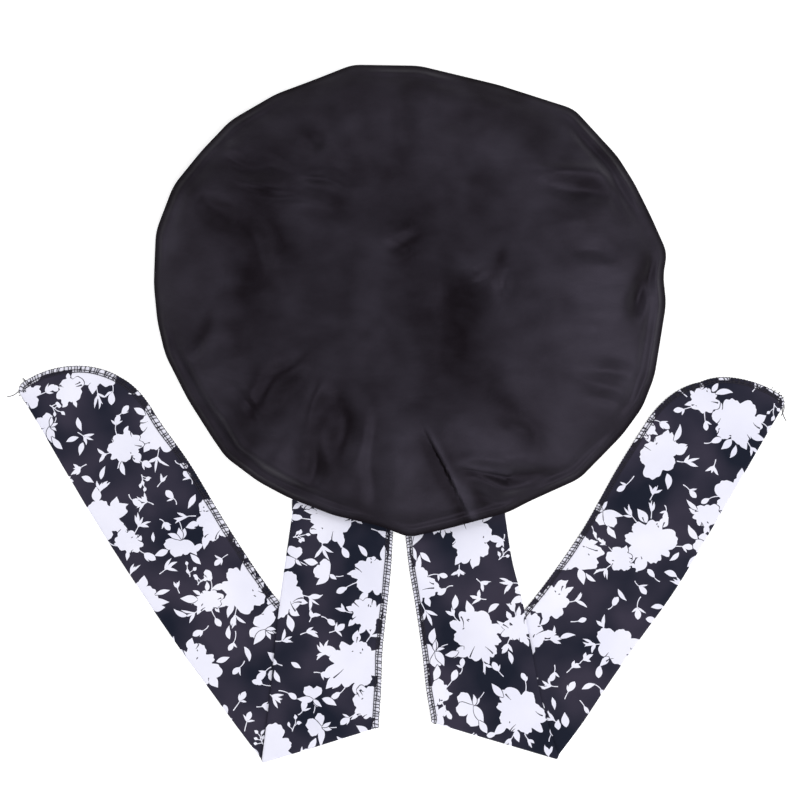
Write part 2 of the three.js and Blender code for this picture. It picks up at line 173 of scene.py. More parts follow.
# Lines straight across each tie, from its folded edge to its sewn edge: folded x, y, sewn x, y.
TIE_SHAPES = {
    "tie_left": {
        "inner": (
            (-82.2, -75.5, -7.1, -79.2), (-87.0, -109.0, -8.9, -113.5), (-91.1, -138.8, -11.9, -144.0),
            (-94.9, -172.2, -15.3, -176.0), (-98.6, -209.4, -16.4, -205.7), (-103.8, -260.0, -17.5, -233.2),
        ),
        "outer": (
            (-103.8, -260.0, -17.5, -233.2), (-124.6, -231.0, -45.8, -199.0),
            (-144.7, -203.5, -72.5, -164.0), (-164.8, -176.0, -100.1, -129.8),
            (-195.3, -131.3, -129.8, -85.2), (-224.3, -86.7, -158.1, -38.3),
            (-251.1, -42.0, -182.7, -3.3), (-270.4, -8.6, -202.0, 30.9), (-287.6, 19.7, -219.1, 59.1),
        ),
    },
    "tie_right": {
        "inner": (
            (76.3, -75.5, 1.5, -79.2), (81.5, -109.0, 5.2, -113.5), (88.5, -136.5, 10.0, -142.5),
            (95.6, -172.2, 14.9, -176.0), (103.0, -210.9, 18.2, -205.7), (114.9, -257.1, 21.2, -229.5),
        ),
        "outer": (
            (114.9, -257.1, 21.2, -229.5), (132.8, -231.7, 48.7, -197.5), (153.6, -200.5, 76.3, -164.0),
            (174.5, -170.7, 103.0, -131.3), (202.7, -131.3, 132.8, -88.9), (229.5, -86.7, 160.7, -39.8),
            (255.6, -42.0, 185.6, -0.4), (274.9, -8.6, 206.5, 31.6), (286.1, 10.4, 217.7, 50.4),
        ),
    },
}

# The row of the outer leg up to which the inner one covers it.
COVERED_ROW = 3

# The crown's mesh: points round it, steps between two rows of its section, and the spacing of its
# rings up to a row.
CROWN_ARCS = 384
SECTION_DETAIL = 24
CROWN_RING_STEPS = ((2, 3.2), (5, 2.4), (8, 1.3), (10, 4.0))

# Gathers round the mouth, and the length, in degrees, over which a ridge beside the rim ends.
GATHERS = 58
GATHER_DEPTH = 2.4
RIDGE_TAPER = 9

# The rim lies on the ties between these angles: where its lift starts and ends on each side.
TIES_PASS = (222, 238, 295, 309)
TIES_LIFT = 2.5

# The ties' cloth: where the inner leg starts to come down beside the outer one and over what length,
# the rounding of the folded edge, the lines of the mesh beside it, and the lines round the fold.
# Each of those last has as many points as the number after it.
DRAPE_START = 6.0
DRAPE_LENGTH = 25.0
FOLD_ROUNDING = 1.5
FOLD_INSETS = (0.2, 0.6, 1.5)
ROLL_STEPS = 8
ROLL_POINTS = 60

# Steps of a tie's outline: across its head, between two rows of the inner leg, along the outer leg,
# and the spacing along the folded and the sewn edge. The crease runs on past both ends of the fold.
HEAD_STEPS = 30
ROW_STEPS = 12
LEG_STEPS = 150
FOLDED_STEP = 2.4
SEAM_STEP = 1.2
CREASE_REACH = 10

# Points measured against a path at a time, and steps of the seam in one length of its white edge.
AT_ONCE = 2000
EDGE_RUN = 10

# The print: how far past the seam a motif may have its middle, the step along outlines, the dark gap
# round motifs, how far off a line a point has to lie to be kept, the longest side that is left, the
# longest side of a shape that the fold hasn't torn, and how near the fold a motif goes on round it.
PRINT_MARGIN = 14.0
PRINT_STEP = 0.95
PRINT_GAP = 0.55
PRINT_SLACK = 0.06
PRINT_LONGEST = 3.0
PRINT_TORN = 5.5
PRINT_NEAR = 1.5
BLOOM_SPREAD = (0.85, 1.14)
SMALL_BLOOM_SPREAD = (0.5, 0.75)

# Corners closer than the first are one corner, and triangles thinner than the second are taken out.
MERGE_DISTANCE = 0.01
SLIVER = 0.002

# The headband: its small tucks, the radius at which its print is laid out, its mesh, and the smallest
# motif that it has.
BAND_TUCKS = 46
BAND_PRINT_RADIUS = 108.0
BAND_ARCS = 240
BAND_SIDE_ARCS = 24
BAND_PITCH = 3.8
BAND_LEAST_MOTIF = 5.0

# Pitch of the stretch cloth's ribs and courses, in metres.
RIB_PITCH = 0.00075
COURSE_PITCH = 0.0009

# How wide the cloth's white back shows along the cut edge: on the inner leg, on the outer leg, round
# the tip, and how much of the seam counts as the tip.
WHITE_EDGES = {"tie_left": (2.0, 0.0, 1.9, 78.0), "tie_right": (1.45, 0.0, 1.1, 26.0)}

# How far each tie's two needle lines lie from its cut edge.
NEEDLE_INSETS = {"tie_left": (2.7, 4.3), "tie_right": (2.1, 3.5)}

# One loop of thread over the cut edge: side of the cloth, lift in thread radii, share of the pitch.
LOOP = (
    (1, 0.5, 0.0), (1, 0.9, 0.12), (1, 1.1, 0.25), (1, 1.2, 0.4), (0.5, 1.4, 0.48),
    (-0.5, 1.4, 0.52), (-1, 1.2, 0.6), (-1, 1.1, 0.75), (-1, 0.9, 0.88), (-1, 0.5, 1.0),
)

# Loose thread at the ties' tips: short tangles, their points, the length of seam that has them, and
# each loose end's shift along the seam and its bend. A loose end has its own steps and their length.
TANGLES = 16
TANGLE_POINTS = 9
TANGLE_LENGTH = 15.0
LOOSE_ENDS = ((0.0, 0.8), (-4.0, -1.2))
LOOSE_STEPS = 16
LOOSE_STEP = 0.8

# Soft waves of the ties' cloth: length, heading in degrees, rise, start.
TIE_WAVES = (
    (46.0, 20.0, 0.25, 0.4), (31.0, 75.0, 0.18, 2.1), (64.0, 130.0, 0.3, 4.0), (23.0, 155.0, 0.12, 1.2),
)

# Creases of the ties: two ends seen from above, rise, width.
TIE_FOLDS = (
    (107, -150, 136, -214, 0.9, 4.0), (112, -170, 118, -236, 0.7, 5.0),
    (-99, -150, -126, -206, 0.9, 4.0), (-92, -180, -100, -240, 0.7, 5.0),
    (-60, -170, -50, -215, 0.5, 8.0), (52, -180, 44, -225, 0.5, 8.0),
)

# The camera's place across and along, and the floor's size, in metres.
CAMERA_PLACE = (-0.00186, 0.01004)
FLOOR_SIZE = 12.0

# Soft lights, in metres: name, place, size, share of the power.
LIGHTS = (
    ("light_right", (2.6, -0.2, 2.6), 2.6, 1.4),
    ("light_front", (0.4, -2.6, 2.6), 2.6, 1.2),
    ("light_back", (0.0, 2.6, 2.6), 2.6, 0.8),
    ("light_left", (-2.8, 0.3, 2.2), 2.6, 0.85),
)


# Small functions

def mix(low, high, share):
    return low + (high - low) * share


def smoothstep(low, high, value):
    """0 up to the low value and 1 from the high one, with a soft slope between them."""
    share = min(max((value - low) / (high - low), 0.0), 1.0)
    return share * share * (3 - 2 * share)


def hill(from_low, to_low, from_high, to_high, value):
    """0 up to the first two numbers, 1 between them and the last two, and 0 again past those."""
    return smoothstep(from_low, to_low, value) * (1 - smoothstep(from_high, to_high, value))


def spline(rows, at):
    """A smooth curve through rows of numbers, at a row number that may have a fraction."""
    last = len(rows) - 1
    row = min(max(int(at), 0), last - 1)
    t = at - row
    p1, p2 = rows[row], rows[row + 1]
    p0 = rows[row - 1] if row > 0 else tuple(2 * a - b for a, b in zip(p1, p2))
    p3 = rows[row + 2] if row + 2 <= last else tuple(2 * b - a for a, b in zip(p1, p2))
    return tuple(
        b + 0.5 * t * (c - a + t * (2 * a - 5 * b + 4 * c - d + t * (3 * (b - c) + d - a)))
        for a, b, c, d in zip(p0, p1, p2, p3)
    )


def line_distance(x, y, x1, y1, x2, y2):
    """Distance from a point to a line between two ends, and its share of the way along."""
    dx, dy = x2 - x1, y2 - y1
    along = min(max(((x - x1) * dx + (y - y1) * dy) / (dx * dx + dy * dy), 0.0), 1.0)
    return math.hypot(x - x1 - along * dx, y - y1 - along * dy), along


def evenly(points, step):
    """The points of a path, spaced out evenly at about the step."""
    reached = [0.0]
    for before, after in zip(points, points[1:]):
        reached.append(reached[-1] + math.dist(before, after))
    count = max(round(reached[-1] / step), 1)
    spaced, row = [], 0
    for i in range(count + 1):
        along = reached[-1] * i / count
        while row < len(points) - 2 and reached[row + 1] < along:
            row += 1
        share = (along - reached[row]) / max(reached[row + 1] - reached[row], 1e-9)
        spaced.append(tuple(mix(a, b, share) for a, b in zip(points[row], points[row + 1])))
    return spaced


# Making objects

def deselect():
    bpy.ops.object.select_all(action="DESELECT")


def pick(obj):
    """Makes an object the only one selected, and active."""
    deselect()
    obj.select_set(True)
    bpy.context.view_layer.objects.active = obj
    return obj


def new_object(name, points, faces):
    """An object from points in millimetres."""
    mesh = bpy.data.meshes.new(name)
    mesh.from_pydata([(x * MM, y * MM, z * MM) for x, y, z in points], [], faces)
    mesh.update()
    obj = bpy.data.objects.new(name, mesh)
    bpy.context.scene.collection.objects.link(obj)
    return pick(obj)


def give_wall(obj, thickness):
    """Gives a sheet its wall, to the inside of its faces."""
    pick(obj)
    wall = obj.modifiers.new("Wall", "SOLIDIFY")
    wall.thickness = thickness * MM
    wall.offset = -1
    wall.use_even_offset = False
    bpy.ops.object.modifier_apply(modifier=wall.name)


def keep_above_floor(obj):
    for vertex in obj.data.vertices:
        vertex.co.z = max(vertex.co.z, 0.0)


def shade(obj, degrees=40):
    pick(obj)
    bpy.ops.object.shade_smooth_by_angle(angle=math.radians(degrees))


# Shader kit

class Value:
    """A socket that holds a number, with arithmetic that adds Math nodes."""

    def __init__(self, kit, socket):
        self.kit = kit
        self.socket = socket

    def math(self, operation, other=0.0, swap=False):
        values = (other, self) if swap else (self, other)
        return self.kit.node("ShaderNodeMath", {"operation": operation}, {0: values[0], 1: values[1]})

    def __add__(self, other):
        return self.math("ADD", other)

    def __radd__(self, other):
        return self.math("ADD", other, True)

    def __sub__(self, other):
        return self.math("SUBTRACT", other)

    def __rsub__(self, other):
        return self.math("SUBTRACT", other, True)

    def __mul__(self, other):
        return self.math("MULTIPLY", other)

    def __rmul__(self, other):
        return self.math("MULTIPLY", other, True)

    def sine(self):
        return self.math("SINE")

    def absolute(self):
        return self.math("ABSOLUTE")


class Kit:
    """The nodes of one material."""

    def __init__(self, name):
        self.material = bpy.data.materials.new(name)
        self.material.use_nodes = True
        self.tree = self.material.node_tree
        self.shader = self.tree.nodes["Principled BSDF"]

    def node(self, kind, settings=None, inputs=None, output=0):
        made = self.tree.nodes.new(kind)
        for name, value in (settings or {}).items():
            setattr(made, name, value)
        for name, value in (inputs or {}).items():
            self.give(made.inputs[name], value)
        return Value(self, made.outputs[output])

    def give(self, socket, value):
        if isinstance(value, Value):
            self.tree.links.new(value.socket, socket)
        else:
            socket.default_value = value

    def set(self, **inputs):
        """Sets the shader's own sockets, named with underscores for spaces."""
        for name, value in inputs.items():
            self.give(self.shader.inputs[name.replace("_", " ")], value)

    def coordinates(self, output="Object"):
        return self.node("ShaderNodeTexCoord", output=output)

    def attribute(self, name):
        return self.node("ShaderNodeAttribute", {"attribute_name": name}, output="Fac")

    def mapped(self, vector, scale=(1, 1, 1), rotation=(0, 0, 0)):
        inputs = {"Vector": vector, "Scale": scale, "Rotation": rotation}
        return self.node("ShaderNodeMapping", inputs=inputs)

    def noise(self, vector, scale, detail=2.0, roughness=0.5, distortion=0.0):
        inputs = {
            "Vector": vector, "Scale": scale, "Detail": detail,
            "Roughness": roughness, "Distortion": distortion,
        }
        return self.node("ShaderNodeTexNoise", inputs=inputs)

    def spread(self, value, low, high, to_low=0.0, to_high=1.0):
        inputs = {"Value": value, "From Min": low, "From Max": high, "To Min": to_low, "To Max": to_high}
        return self.node("ShaderNodeMapRange", inputs=inputs)

    def mix_colours(self, share, low, high):
        colours = [c if isinstance(c, Value) else (*c, 1.0) for c in (low, high)]
        inputs = {"Factor": share, 6: colours[0], 7: colours[1]}
        return self.node("ShaderNodeMix", {"data_type": "RGBA"}, inputs, output=2)

    def bump(self, height, strength, distance):
        inputs = {"Height": height, "Strength": strength, "Distance": distance}
        return self.node("ShaderNodeBump", inputs=inputs)


def satin_material(look):
    """Fine black satin: soft lights, painted sheen and shade in its colour, slightly crushed, with short
    creases.
    """
    kit = Kit("Black satin")
    place = kit.coordinates()
    clouded = kit.noise(kit.mapped(place, (1, 1.6, 1), (0, 0, 0.7)), 46.0, 3.0, 0.6)
    crushed = kit.noise(kit.mapped(place, (1, 2.2, 1), (0, 0, 0.5)), 34.0, 4.0, 0.6, 0.6)
    creased = kit.noise(kit.mapped(place, (1.8, 1, 1), (0, 0, -0.4)), 70.0, 3.0, 0.5, 0.4)
    # Painted sheen and shade: the crown's lighter and darker places, with soft clouds, choose between the
    # satin's shaded and sheen colours.
    painted_sheen_shade = kit.spread(kit.attribute("sheen_shade") + (clouded - 0.5) * 0.42, 0.0, 1.0)
    rough = look.satin_roughness
    dull = kit.attribute("edge") * (1 - rough)
    kit.set(
        Base_Color=kit.mix_colours(painted_sheen_shade, look.satin_shaded, look.satin_sheen),
        Roughness=kit.spread(crushed, 0.3, 0.7, rough - 0.05, rough + 0.06) + dull,
        Normal=kit.bump(crushed * 0.7 + creased * 0.3, 0.4, 0.0014),
        Specular_IOR_Level=0.18,
        Specular_Tint=(0.82, 0.72, 1.0, 1.0),
    )
    return kit.material


def knit_material(look):
    """Smooth stretch cloth with fine upright ribs, black with white flowers."""
    kit = Kit("Printed stretch cloth")
    printed = kit.attribute("print")
    cloth = kit.coordinates("UV")
    across, along = (
        kit.node("ShaderNodeSeparateXYZ", inputs={"Vector": cloth}, output=axis) for axis in "XY"
    )
    rib = (across * (2 * math.pi / RIB_PITCH)).sine().absolute()
    course = (along * (2 * math.pi / COURSE_PITCH)).sine().absolute()
    cloudy = kit.noise(kit.coordinates(), 19.0, 2.5, 0.45)
    black = kit.mix_colours(kit.spread(cloudy, 0.37, 0.63), look.ground_dark, look.ground_light)
    white = kit.mix_colours(kit.spread(cloudy, 0.3, 0.7), look.flower_shade, look.flower)
    kit.set(
        Base_Color=kit.mix_colours(printed, black, white),
        Roughness=0.62 + printed * 0.16,
        Normal=kit.bump(rib * 0.7 + course * 0.3, 0.22, 0.00025),
        Specular_IOR_Level=0.14,
    )
    return kit.material


def thread_material(look):
    """Dark polyester sewing thread with its twist."""
    kit = Kit("Sewing thread")
    twist = kit.noise(kit.coordinates(), 1800.0, 1.0)
    kit.set(
        Base_Color=kit.mix_colours(twist, look.thread, [c * 1.8 for c in look.thread]),
        Roughness=0.5,
        Normal=kit.bump(twist, 0.3, 0.0002),
        Specular_IOR_Level=0.2,
    )
    return kit.material


def floor_material(look):
    """Pale, even floor that gives a little light of its own, so that it stays white."""
    kit = Kit("Pale floor")
    grain = kit.noise(kit.coordinates(), 60.0, 2.0)
    kit.set(
        Base_Color=kit.mix_colours(grain, [c * 0.995 for c in look.floor], look.floor),
        Roughness=0.9,
        Specular_IOR_Level=0.1,
        Emission_Color=(1.0, 1.0, 1.0, 1.0),
        Emission_Strength=0.4,
    )
    return kit.material


# Crown

def rim_corner_radius(angle):
    """Radius of the rim, straight from corner to corner, at an angle in degrees."""
    corners = RIM_CORNERS + ((RIM_CORNERS[0][0] + 360, RIM_CORNERS[0][1]),)
    at = (angle - RIM_CORNERS[0][0]) % 360 + RIM_CORNERS[0][0]
    for (low, r1), (high, r2) in zip(corners, corners[1:]):
        if at <= high:
            before = math.radians(at - low)
            after = math.radians(high - at)
            return r1 * r2 * math.sin(before + after) / (r1 * math.sin(before) + r2 * math.sin(after))
    raise ValueError(angle)


def rim_table(count, soften=1.6):
    """The rim's radius at evenly spaced angles, with its corners a little rounded."""
    spread = (-1.0, -0.5, 0.0, 0.5, 1.0)
    return [
        sum(rim_corner_radius(360 * i / count + soften * s) for s in spread) / len(spread)
        for i in range(count)
    ]


def crown_section():
    """Rows of the half section, closest at the rim: radius, height, 1 above the rim and 0 below."""
    section = []
    first = 0
    for last, step in CROWN_RING_STEPS:
        fine = []
        for i in range(first * SECTION_DETAIL, last * SECTION_DETAIL + 1):
            radius, height = spline(CROWN_PROFILE, i / SECTION_DETAIL)
            fine.append((max(radius, 0.0), height, 1.0 if i <= RIM_ROW * SECTION_DETAIL else 0.0))
        section = section[:-1] + evenly(fine, step)
        first = last
    return section


def clouds(x, y, length, layer):
    """Soft noise about as long as the length, from -1 to 1, and unlike in each layer."""
    return noise.noise(Vector((x / length, y / length, layer)))


def wandered(x, y):
    """A place moved a little to and fro, so that straight rows of the tables bend like cloth."""
    bend_x, bend_y = (clouds(x, y, WANDER_LENGTH, layer) for layer in WANDER_LAYERS)
    return x + CLOTH_WANDER * bend_x, y + CLOTH_WANDER * bend_y


def fold_height(x, y):
    """Height of the crown's folds at a place about its middle."""
    x, y = wandered(x, y)
    height = 0.0
    for x1, y1, x2, y2, rise, width in CROWN_FOLDS:
        away, along = line_distance(x, y, x1, y1, x2, y2)
        if away < 3 * width:
            ends = 0.25 + 0.75 * math.sin(math.pi * along)
            height += FOLD_RISE * rise * math.exp(-(away / (FOLD_WIDTH * width)) ** 2) * ends
    return height


def lap_side(x, y, lap):
    """How far a point is past a lap's line, positive on the upper side, and its share along the line."""
    x1, y1, x2, y2 = lap[:4]
    away, along = line_distance(x, y, x1, y1, x2, y2)
    upper = (x2 - x1) * (y - y1) - (y2 - y1) * (x - x1)
    return math.copysign(away, upper), hill(0.0, 0.3, 0.96, 1.0, along)


def lap_height(x, y):
    """Height of the laps: a step up at each line, which fades away from it on both sides."""
    height = 0.0
    for lap in CROWN_LAPS:
        away, strength = lap_side(x, y, lap)
        rise, reach = lap[4:]
        up = smoothstep(-LAP_STEP / 2, LAP_STEP / 2, away)
        upper = math.exp(-max(away, 0) / reach)
        lower = -0.7 * math.exp(min(away, 0) / (0.4 * reach))
        height += strength * rise * mix(lower, upper, up)
    return height


def pulled_to_laps(x, y):
    """A point of the crown's plan, drawn in towards the laps so that the mesh is finer along them."""
    for lap in CROWN_LAPS:
        away, strength = lap_side(x, y, lap)
        if 0.01 < abs(away) < LAP_PULL and strength > 0:
            x1, y1, x2, y2 = lap[:4]
            share = abs(away) / LAP_PULL
            move = strength * away * (share ** 0.6 - 1) / math.hypot(x2 - x1, y2 - y1)
            x, y = x - (y2 - y1) * move, y + (x2 - x1) * move
    return x, y


def satin_sheen_shade(x, y):
    """How light the satin's painted sheen and shade make it at a place about the crown's middle, about 0 to
    1.
    """
    sheen_shade = 0.4
    # Painted highlight beside each lap's upper side, and painted shadow beside its lower side.
    for lap in CROWN_LAPS:
        away, strength = lap_side(x, y, lap)
        lit = math.exp(-((away - 2.4) / 2.4) ** 2)
        shaded = math.exp(-((away + 4.5) / 5.0) ** 2)
        sheen_shade += strength * lap[4] * (0.3 * lit - 0.22 * shaded)
    x, y = wandered(x, y)
    for spot_x, spot_y, length, width, heading, strength in CROWN_SHEEN_SHADE:
        turn = math.radians(heading)
        dx, dy = x - spot_x, y - spot_y
        along = (dx * math.cos(turn) + dy * math.sin(turn)) / (length / 2)
        across = (dy * math.cos(turn) - dx * math.sin(turn)) / (width / 2)
        sheen_shade += SHEEN_SHADE_DEPTH * strength * math.exp(-along * along - across * across)
    sheen_shade += 0.24 * clouds(x, y, 34, 5.2)
    sheen_shade += 0.14 * clouds(x, y, 13, 9.4)
    # Painted light: the satin is made lighter towards the right and the front, where the strongest lamps
    # stand.
    sheen_shade += 0.12 * (x - 0.6 * y) / RIM_RADIUS
    return min(max(sheen_shade, 0.0), 1.0)


def ridge_height(angle, inset):
    """Height of the ridges that run beside the rim, at a distance in from it."""
    height = 0.0
    for low, high, place, rise, width in RIM_RIDGES:
        along = (angle - low) % 360
        length = (high - low) % 360
        if along < length:
            ends = hill(0, RIDGE_TAPER, length - RIDGE_TAPER, length, along)
            height += ends * rise * math.exp(-((inset - place) / width) ** 2)
    return height


def crown_place(angle, rim, radius, height, above, settings):
    """A point of the crown's outside about its own middle."""
    share = radius / RIM_RADIUS
    under = (radius - MOUTH_RADIUS) / (RIM_RADIUS - MOUTH_RADIUS)
    turn = math.radians(angle)
    if above > 0.5:
        placed = share * rim
        x, y = pulled_to_laps(placed * math.cos(turn), placed * math.sin(turn))
        z = height
        inner = 1 - smoothstep(0.9, 0.985, share)
        z += inner * (fold_height(x, y) + lap_height(x, y))
        z += ridge_height(angle, rim - placed)
        broad, small = clouds(x, y, 52, 2.3), clouds(x, y, 21, 7.1)
        rays = noise.noise(Vector((math.cos(turn) * 9, math.sin(turn) * 9, radius / 70)))
        z += settings.crush * (1 - smoothstep(0.93, 0.99, share)) * (1.5 * broad + 0.55 * small)
        z += settings.crush * 1.3 * rays * hill(0.35, 0.8, 0.95, 1.0, share)
    else:
        placed = MOUTH_RADIUS + under * (rim - MOUTH_RADIUS)
        x, y = placed * math.cos(turn), placed * math.sin(turn)
        wander = 1.4 * noise.noise(Vector((math.cos(turn) * 3, math.sin(turn) * 3, 1.7)))
        wave = 0.5 - 0.5 * math.cos(GATHERS * turn + wander * 2.2)
        gathered = 1 - smoothstep(0.05, 0.92, under)
        z = height - gathered * GATHER_DEPTH * wave
    z += TIES_LIFT * hill(*TIES_PASS, angle % 360) * (1 - smoothstep(0, 14, z))
    return x + CROWN_X, y + CROWN_Y, max(z, 0.0)


def make_crown(settings):
    """The crown's outside: rings of points from the middle of its top over the rim to the mouth."""
    section = crown_section()
    rims = rim_table(CROWN_ARCS)
    points = [crown_place(0, rims[0], 0.0, section[0][1], 1.0, settings)]
    sheen_shades = [satin_sheen_shade(0, 0)]
    edges = [0.0]
    for radius, height, above in section[1:]:
        shaded_from, shaded_to = RIM_SHADE_ABOVE if above > 0.5 else RIM_SHADE_BELOW
        edge = smoothstep(shaded_from, shaded_to, radius / RIM_RADIUS)
        for i in range(CROWN_ARCS):
            x, y, z = crown_place(360 * i / CROWN_ARCS, rims[i], radius, height, above, settings)
            points.append((x, y, z))
            # Painted sheen and shade, with painted shade darkening the satin's colour over the rim's edge.
            sheen_shades.append(satin_sheen_shade(x - CROWN_X, y - CROWN_Y) * (1 - RIM_SHADE * edge))
            edges.append(edge)
    faces = [(0, 1 + i, 1 + (i + 1) % CROWN_ARCS) for i in range(CROWN_ARCS)]
    for ring in range(len(section) - 2):
        start = 1 + ring * CROWN_ARCS
        for i in range(CROWN_ARCS):
            j = (i + 1) % CROWN_ARCS
            faces.append((start + i, start + CROWN_ARCS + i, start + CROWN_ARCS + j, start + j))
    obj = new_object("satin_crown", points, faces)
    for name, values in (("sheen_shade", sheen_shades), ("edge", edges)):
        attribute = obj.data.attributes.new(name, "FLOAT", "POINT")
        attribute.data.foreach_set("value", values)
    return obj


# Ties from above

class TiePlan:
    """A tie from above, and its cloth opened out flat at the fold.

    Opened out, the inner leg stays where it is seen and the outer leg is turned over beyond the fold,
    so that the cloth is one long strip. Points of the strip are arrays of x and y in millimetres.
    """

    def __init__(self, shape):
        inner = [np.array(row) for row in shape["inner"]]
        outer = [np.array(row) for row in shape["outer"]]
        across = inner[-1][2:] - inner[-1][:2]
        self.hand = math.copysign(1.0, across[0])
        self.inward = np.array((-across[1], across[0])) / np.linalg.norm(across) * self.hand
        depth = FOLD_ROLL + BAND_CLOTH / 2
        inner[-1] = outer[0] = inner[-1] + np.tile(self.inward * depth, 2)
        self.axis = inner[-1][:2]
        self.roll = math.pi * FOLD_ROLL
        self.covered = (outer[0][2:], outer[COVERED_ROW][2:])

        first = inner[0]
        head = [np.array((first[0], head_front(first[0]), first[2], head_front(first[2])))]
        steps_down = (len(inner) - 1) * ROW_STEPS
        top = [self.leg_row(inner, i / ROW_STEPS) for i in range(steps_down + 1)]
        folded = [row[:2] for row in head + top]
        sewn = [row[2:] for row in head + top]
        reached = self.leg_lengths(outer)
        self.length = TIE_HEAD_LENGTH + self.leg_lengths(inner)[-1] + self.roll + reached[-1]
        corner = reached[-1] - end_cut(0.0)
        curve_start = reached[-1] - end_cut(1.0)
        for i in range(1, LEG_STEPS + 1):
            folded.append(self.opened(self.leg_point(outer, reached, corner * i / LEG_STEPS, 0.0)))
            sewn.append(self.opened(self.leg_point(outer, reached, curve_start * i / LEG_STEPS, 1.0)))
        for i in range(LEG_STEPS - 1, -1, -1):
            place = 1.0 - (1.0 - i / LEG_STEPS) ** 2
            at = reached[-1] - end_cut(place)
            sewn.append(self.opened(self.leg_point(outer, reached, at, place)))
        self.folded = np.array(evenly([tuple(p) for p in folded], FOLDED_STEP))
        self.seam = np.array(evenly([tuple(p) for p in sewn], SEAM_STEP))
        self.seam_inward = sides_of(self.seam) * -self.hand
        self.outline = counterclockwise(np.vstack([self.folded, self.seam[::-1][1:], self.head_arc()]))
        before = self.folded[0] + (self.folded[0] - self.folded[8]) * CREASE_REACH
        beyond = self.folded[-1] + (self.folded[-1] - self.folded[-9]) * CREASE_REACH
        self.crease = np.vstack([before, self.folded, beyond])

    def head_arc(self):
        """The edge that lies along the headband, from the sewn edge to the folded one."""
        across = [mix(self.seam[0][0], self.folded[0][0], i / HEAD_STEPS) for i in range(1, HEAD_STEPS)]
        return np.array([(x, head_front(x)) for x in across])

    def leg_row(self, rows, at):
        """A line across a leg, at a row number that may have a fraction."""
        return np.array(spline([tuple(row) for row in rows], at))

    def leg_lengths(self, rows):
        """How far along its middle a leg's rows lie."""
        middles = [(row[:2] + row[2:]) / 2 for row in rows]
        reached = [0.0]
        for before, after in zip(middles, middles[1:]):
            reached.append(reached[-1] + float(np.linalg.norm(after - before)))
        return reached

    def leg_point(self, rows, reached, distance, across):
        """A point of a leg, a distance along it and a share of the way across."""
        row = 0
        while row < len(rows) - 2 and reached[row + 1] < distance:
            row += 1
        share = (distance - reached[row]) / (reached[row + 1] - reached[row])
        at = self.leg_row(rows, row + min(share, 0.9999))
        return mix(at[:2], at[2:], across)

    def opened(self, point):
        """A point of the outer leg, turned over beyond the fold."""
        distance = float(np.dot(point - self.axis, self.inward))
        return point - self.inward * (2 * distance + self.roll)

    def middle(self, flat):
        """Points on the middle of the folded cloth, from points of the strip."""
        beyond = -(flat - self.axis) @ self.inward
        turn = np.clip(beyond / FOLD_ROLL, 0, math.pi)
        past = np.maximum(beyond - self.roll, 0)
        back = np.where(beyond > 0, beyond, 0) - FOLD_ROLL * np.sin(turn) + past
        plan = flat + self.inward * back[:, None]
        rolled = BAND_CLOTH / 2 + FOLD_ROLL + FOLD_ROLL * np.cos(turn)
        height = np.where(beyond > 0, rolled, self.inner_height(plan, -beyond))
        return np.column_stack([plan, height + wrinkle_height(plan)])

    def inner_height(self, plan, to_fold):
        """Height of the inner leg's middle: over the outer leg, up to the fold and up to the headband."""
        start, end = self.covered
        along = (end - start) / np.linalg.norm(end - start)
        side = np.array((along[1], -along[0]))
        side *= self.hand * math.copysign(1.0, side[0])
        over = 1 - smooth_array(DRAPE_START, DRAPE_START + DRAPE_LENGTH, (plan - start) @ side)
        near = 1 - smooth_array(0, DRAPE_LENGTH, to_fold)
        on_floor = mix((BAND_CLOTH + GAP) * over, 2 * FOLD_ROLL, near)
        from_middle = np.linalg.norm(plan - np.array((CROWN_X, CROWN_Y)), axis=1)
        head = 1 - smooth_array(BAND_OUTER_RADIUS + TIE_HEAD_CLEARANCE, TIE_RISE_FROM, from_middle)
        return BAND_CLOTH / 2 + on_floor + head * (TIE_HEAD_HEIGHT - BAND_CLOTH / 2)

    def placed(self, flat, offset):
        """Points off the middle of the cloth, positive towards the side that is up on the inner leg."""
        probe = 0.05
        step_x, step_y = np.array((probe, 0)), np.array((0, probe))
        along_x = self.middle(flat + step_x) - self.middle(flat - step_x)
        along_y = self.middle(flat + step_y) - self.middle(flat - step_y)
        normal = unit(np.cross(along_x, along_y))
        return self.middle(flat) + normal * np.asarray(offset)[:, None]

    def depth(self, points):
        """How far points lie inside the folded edge, negative past it."""
        _, away, side = nearest_on_path(points, self.crease)
        return away * side * self.hand

    def mirrored(self, points):
        """Points of the strip carried over its folded edge, onto the cloth's other layer."""
        return 2 * nearest_on_path(points, self.crease)[0] - points

    def half_thickness(self, flat):
        """Distance from the middle to a layer's outside, less at the folded edge and at the seam."""
        from_fold, from_seam = (nearest_on_path(flat, edge)[1] for edge in (self.folded, self.seam))
        pressed = 0.7 + 0.3 * smooth_array(0, 7, from_seam)
        return BAND_CLOTH / 2 * rounded_off(from_fold) * pressed


def head_front(x):
    """How far forward the front of the headband is at a place across, where the ties' cloth starts."""
    return CROWN_Y - math.sqrt((BAND_OUTER_RADIUS + TIE_HEAD_CLEARANCE) ** 2 - (x - CROWN_X) ** 2)


def end_cut(across):
    """How far a tie's end is cut back at a share of the way across."""
    place = across * TIE_WIDTH
    if place < END_CORNER:
        left = (END_CORNER - place) / END_CORNER
        return END_CORNER * (1 - math.sqrt(1 - left * left))
    over = max(place - END_FLAT, 0) / (TIE_WIDTH - END_FLAT)
    return END_CURVE * (1 - math.sqrt(max(1 - over * over, 0)))


def smooth_array(low, high, values):
    """What smoothstep gives, for an array of values."""
    share = np.clip((values - low) / (high - low), 0, 1)
    return share * share * (3 - 2 * share)


def rounded_off(from_fold):
    """Share of the cloth's thickness at a distance from a folded edge."""
    return np.sqrt(1 - (1 - np.clip(from_fold / FOLD_ROUNDING, 0, 1)) ** 2)


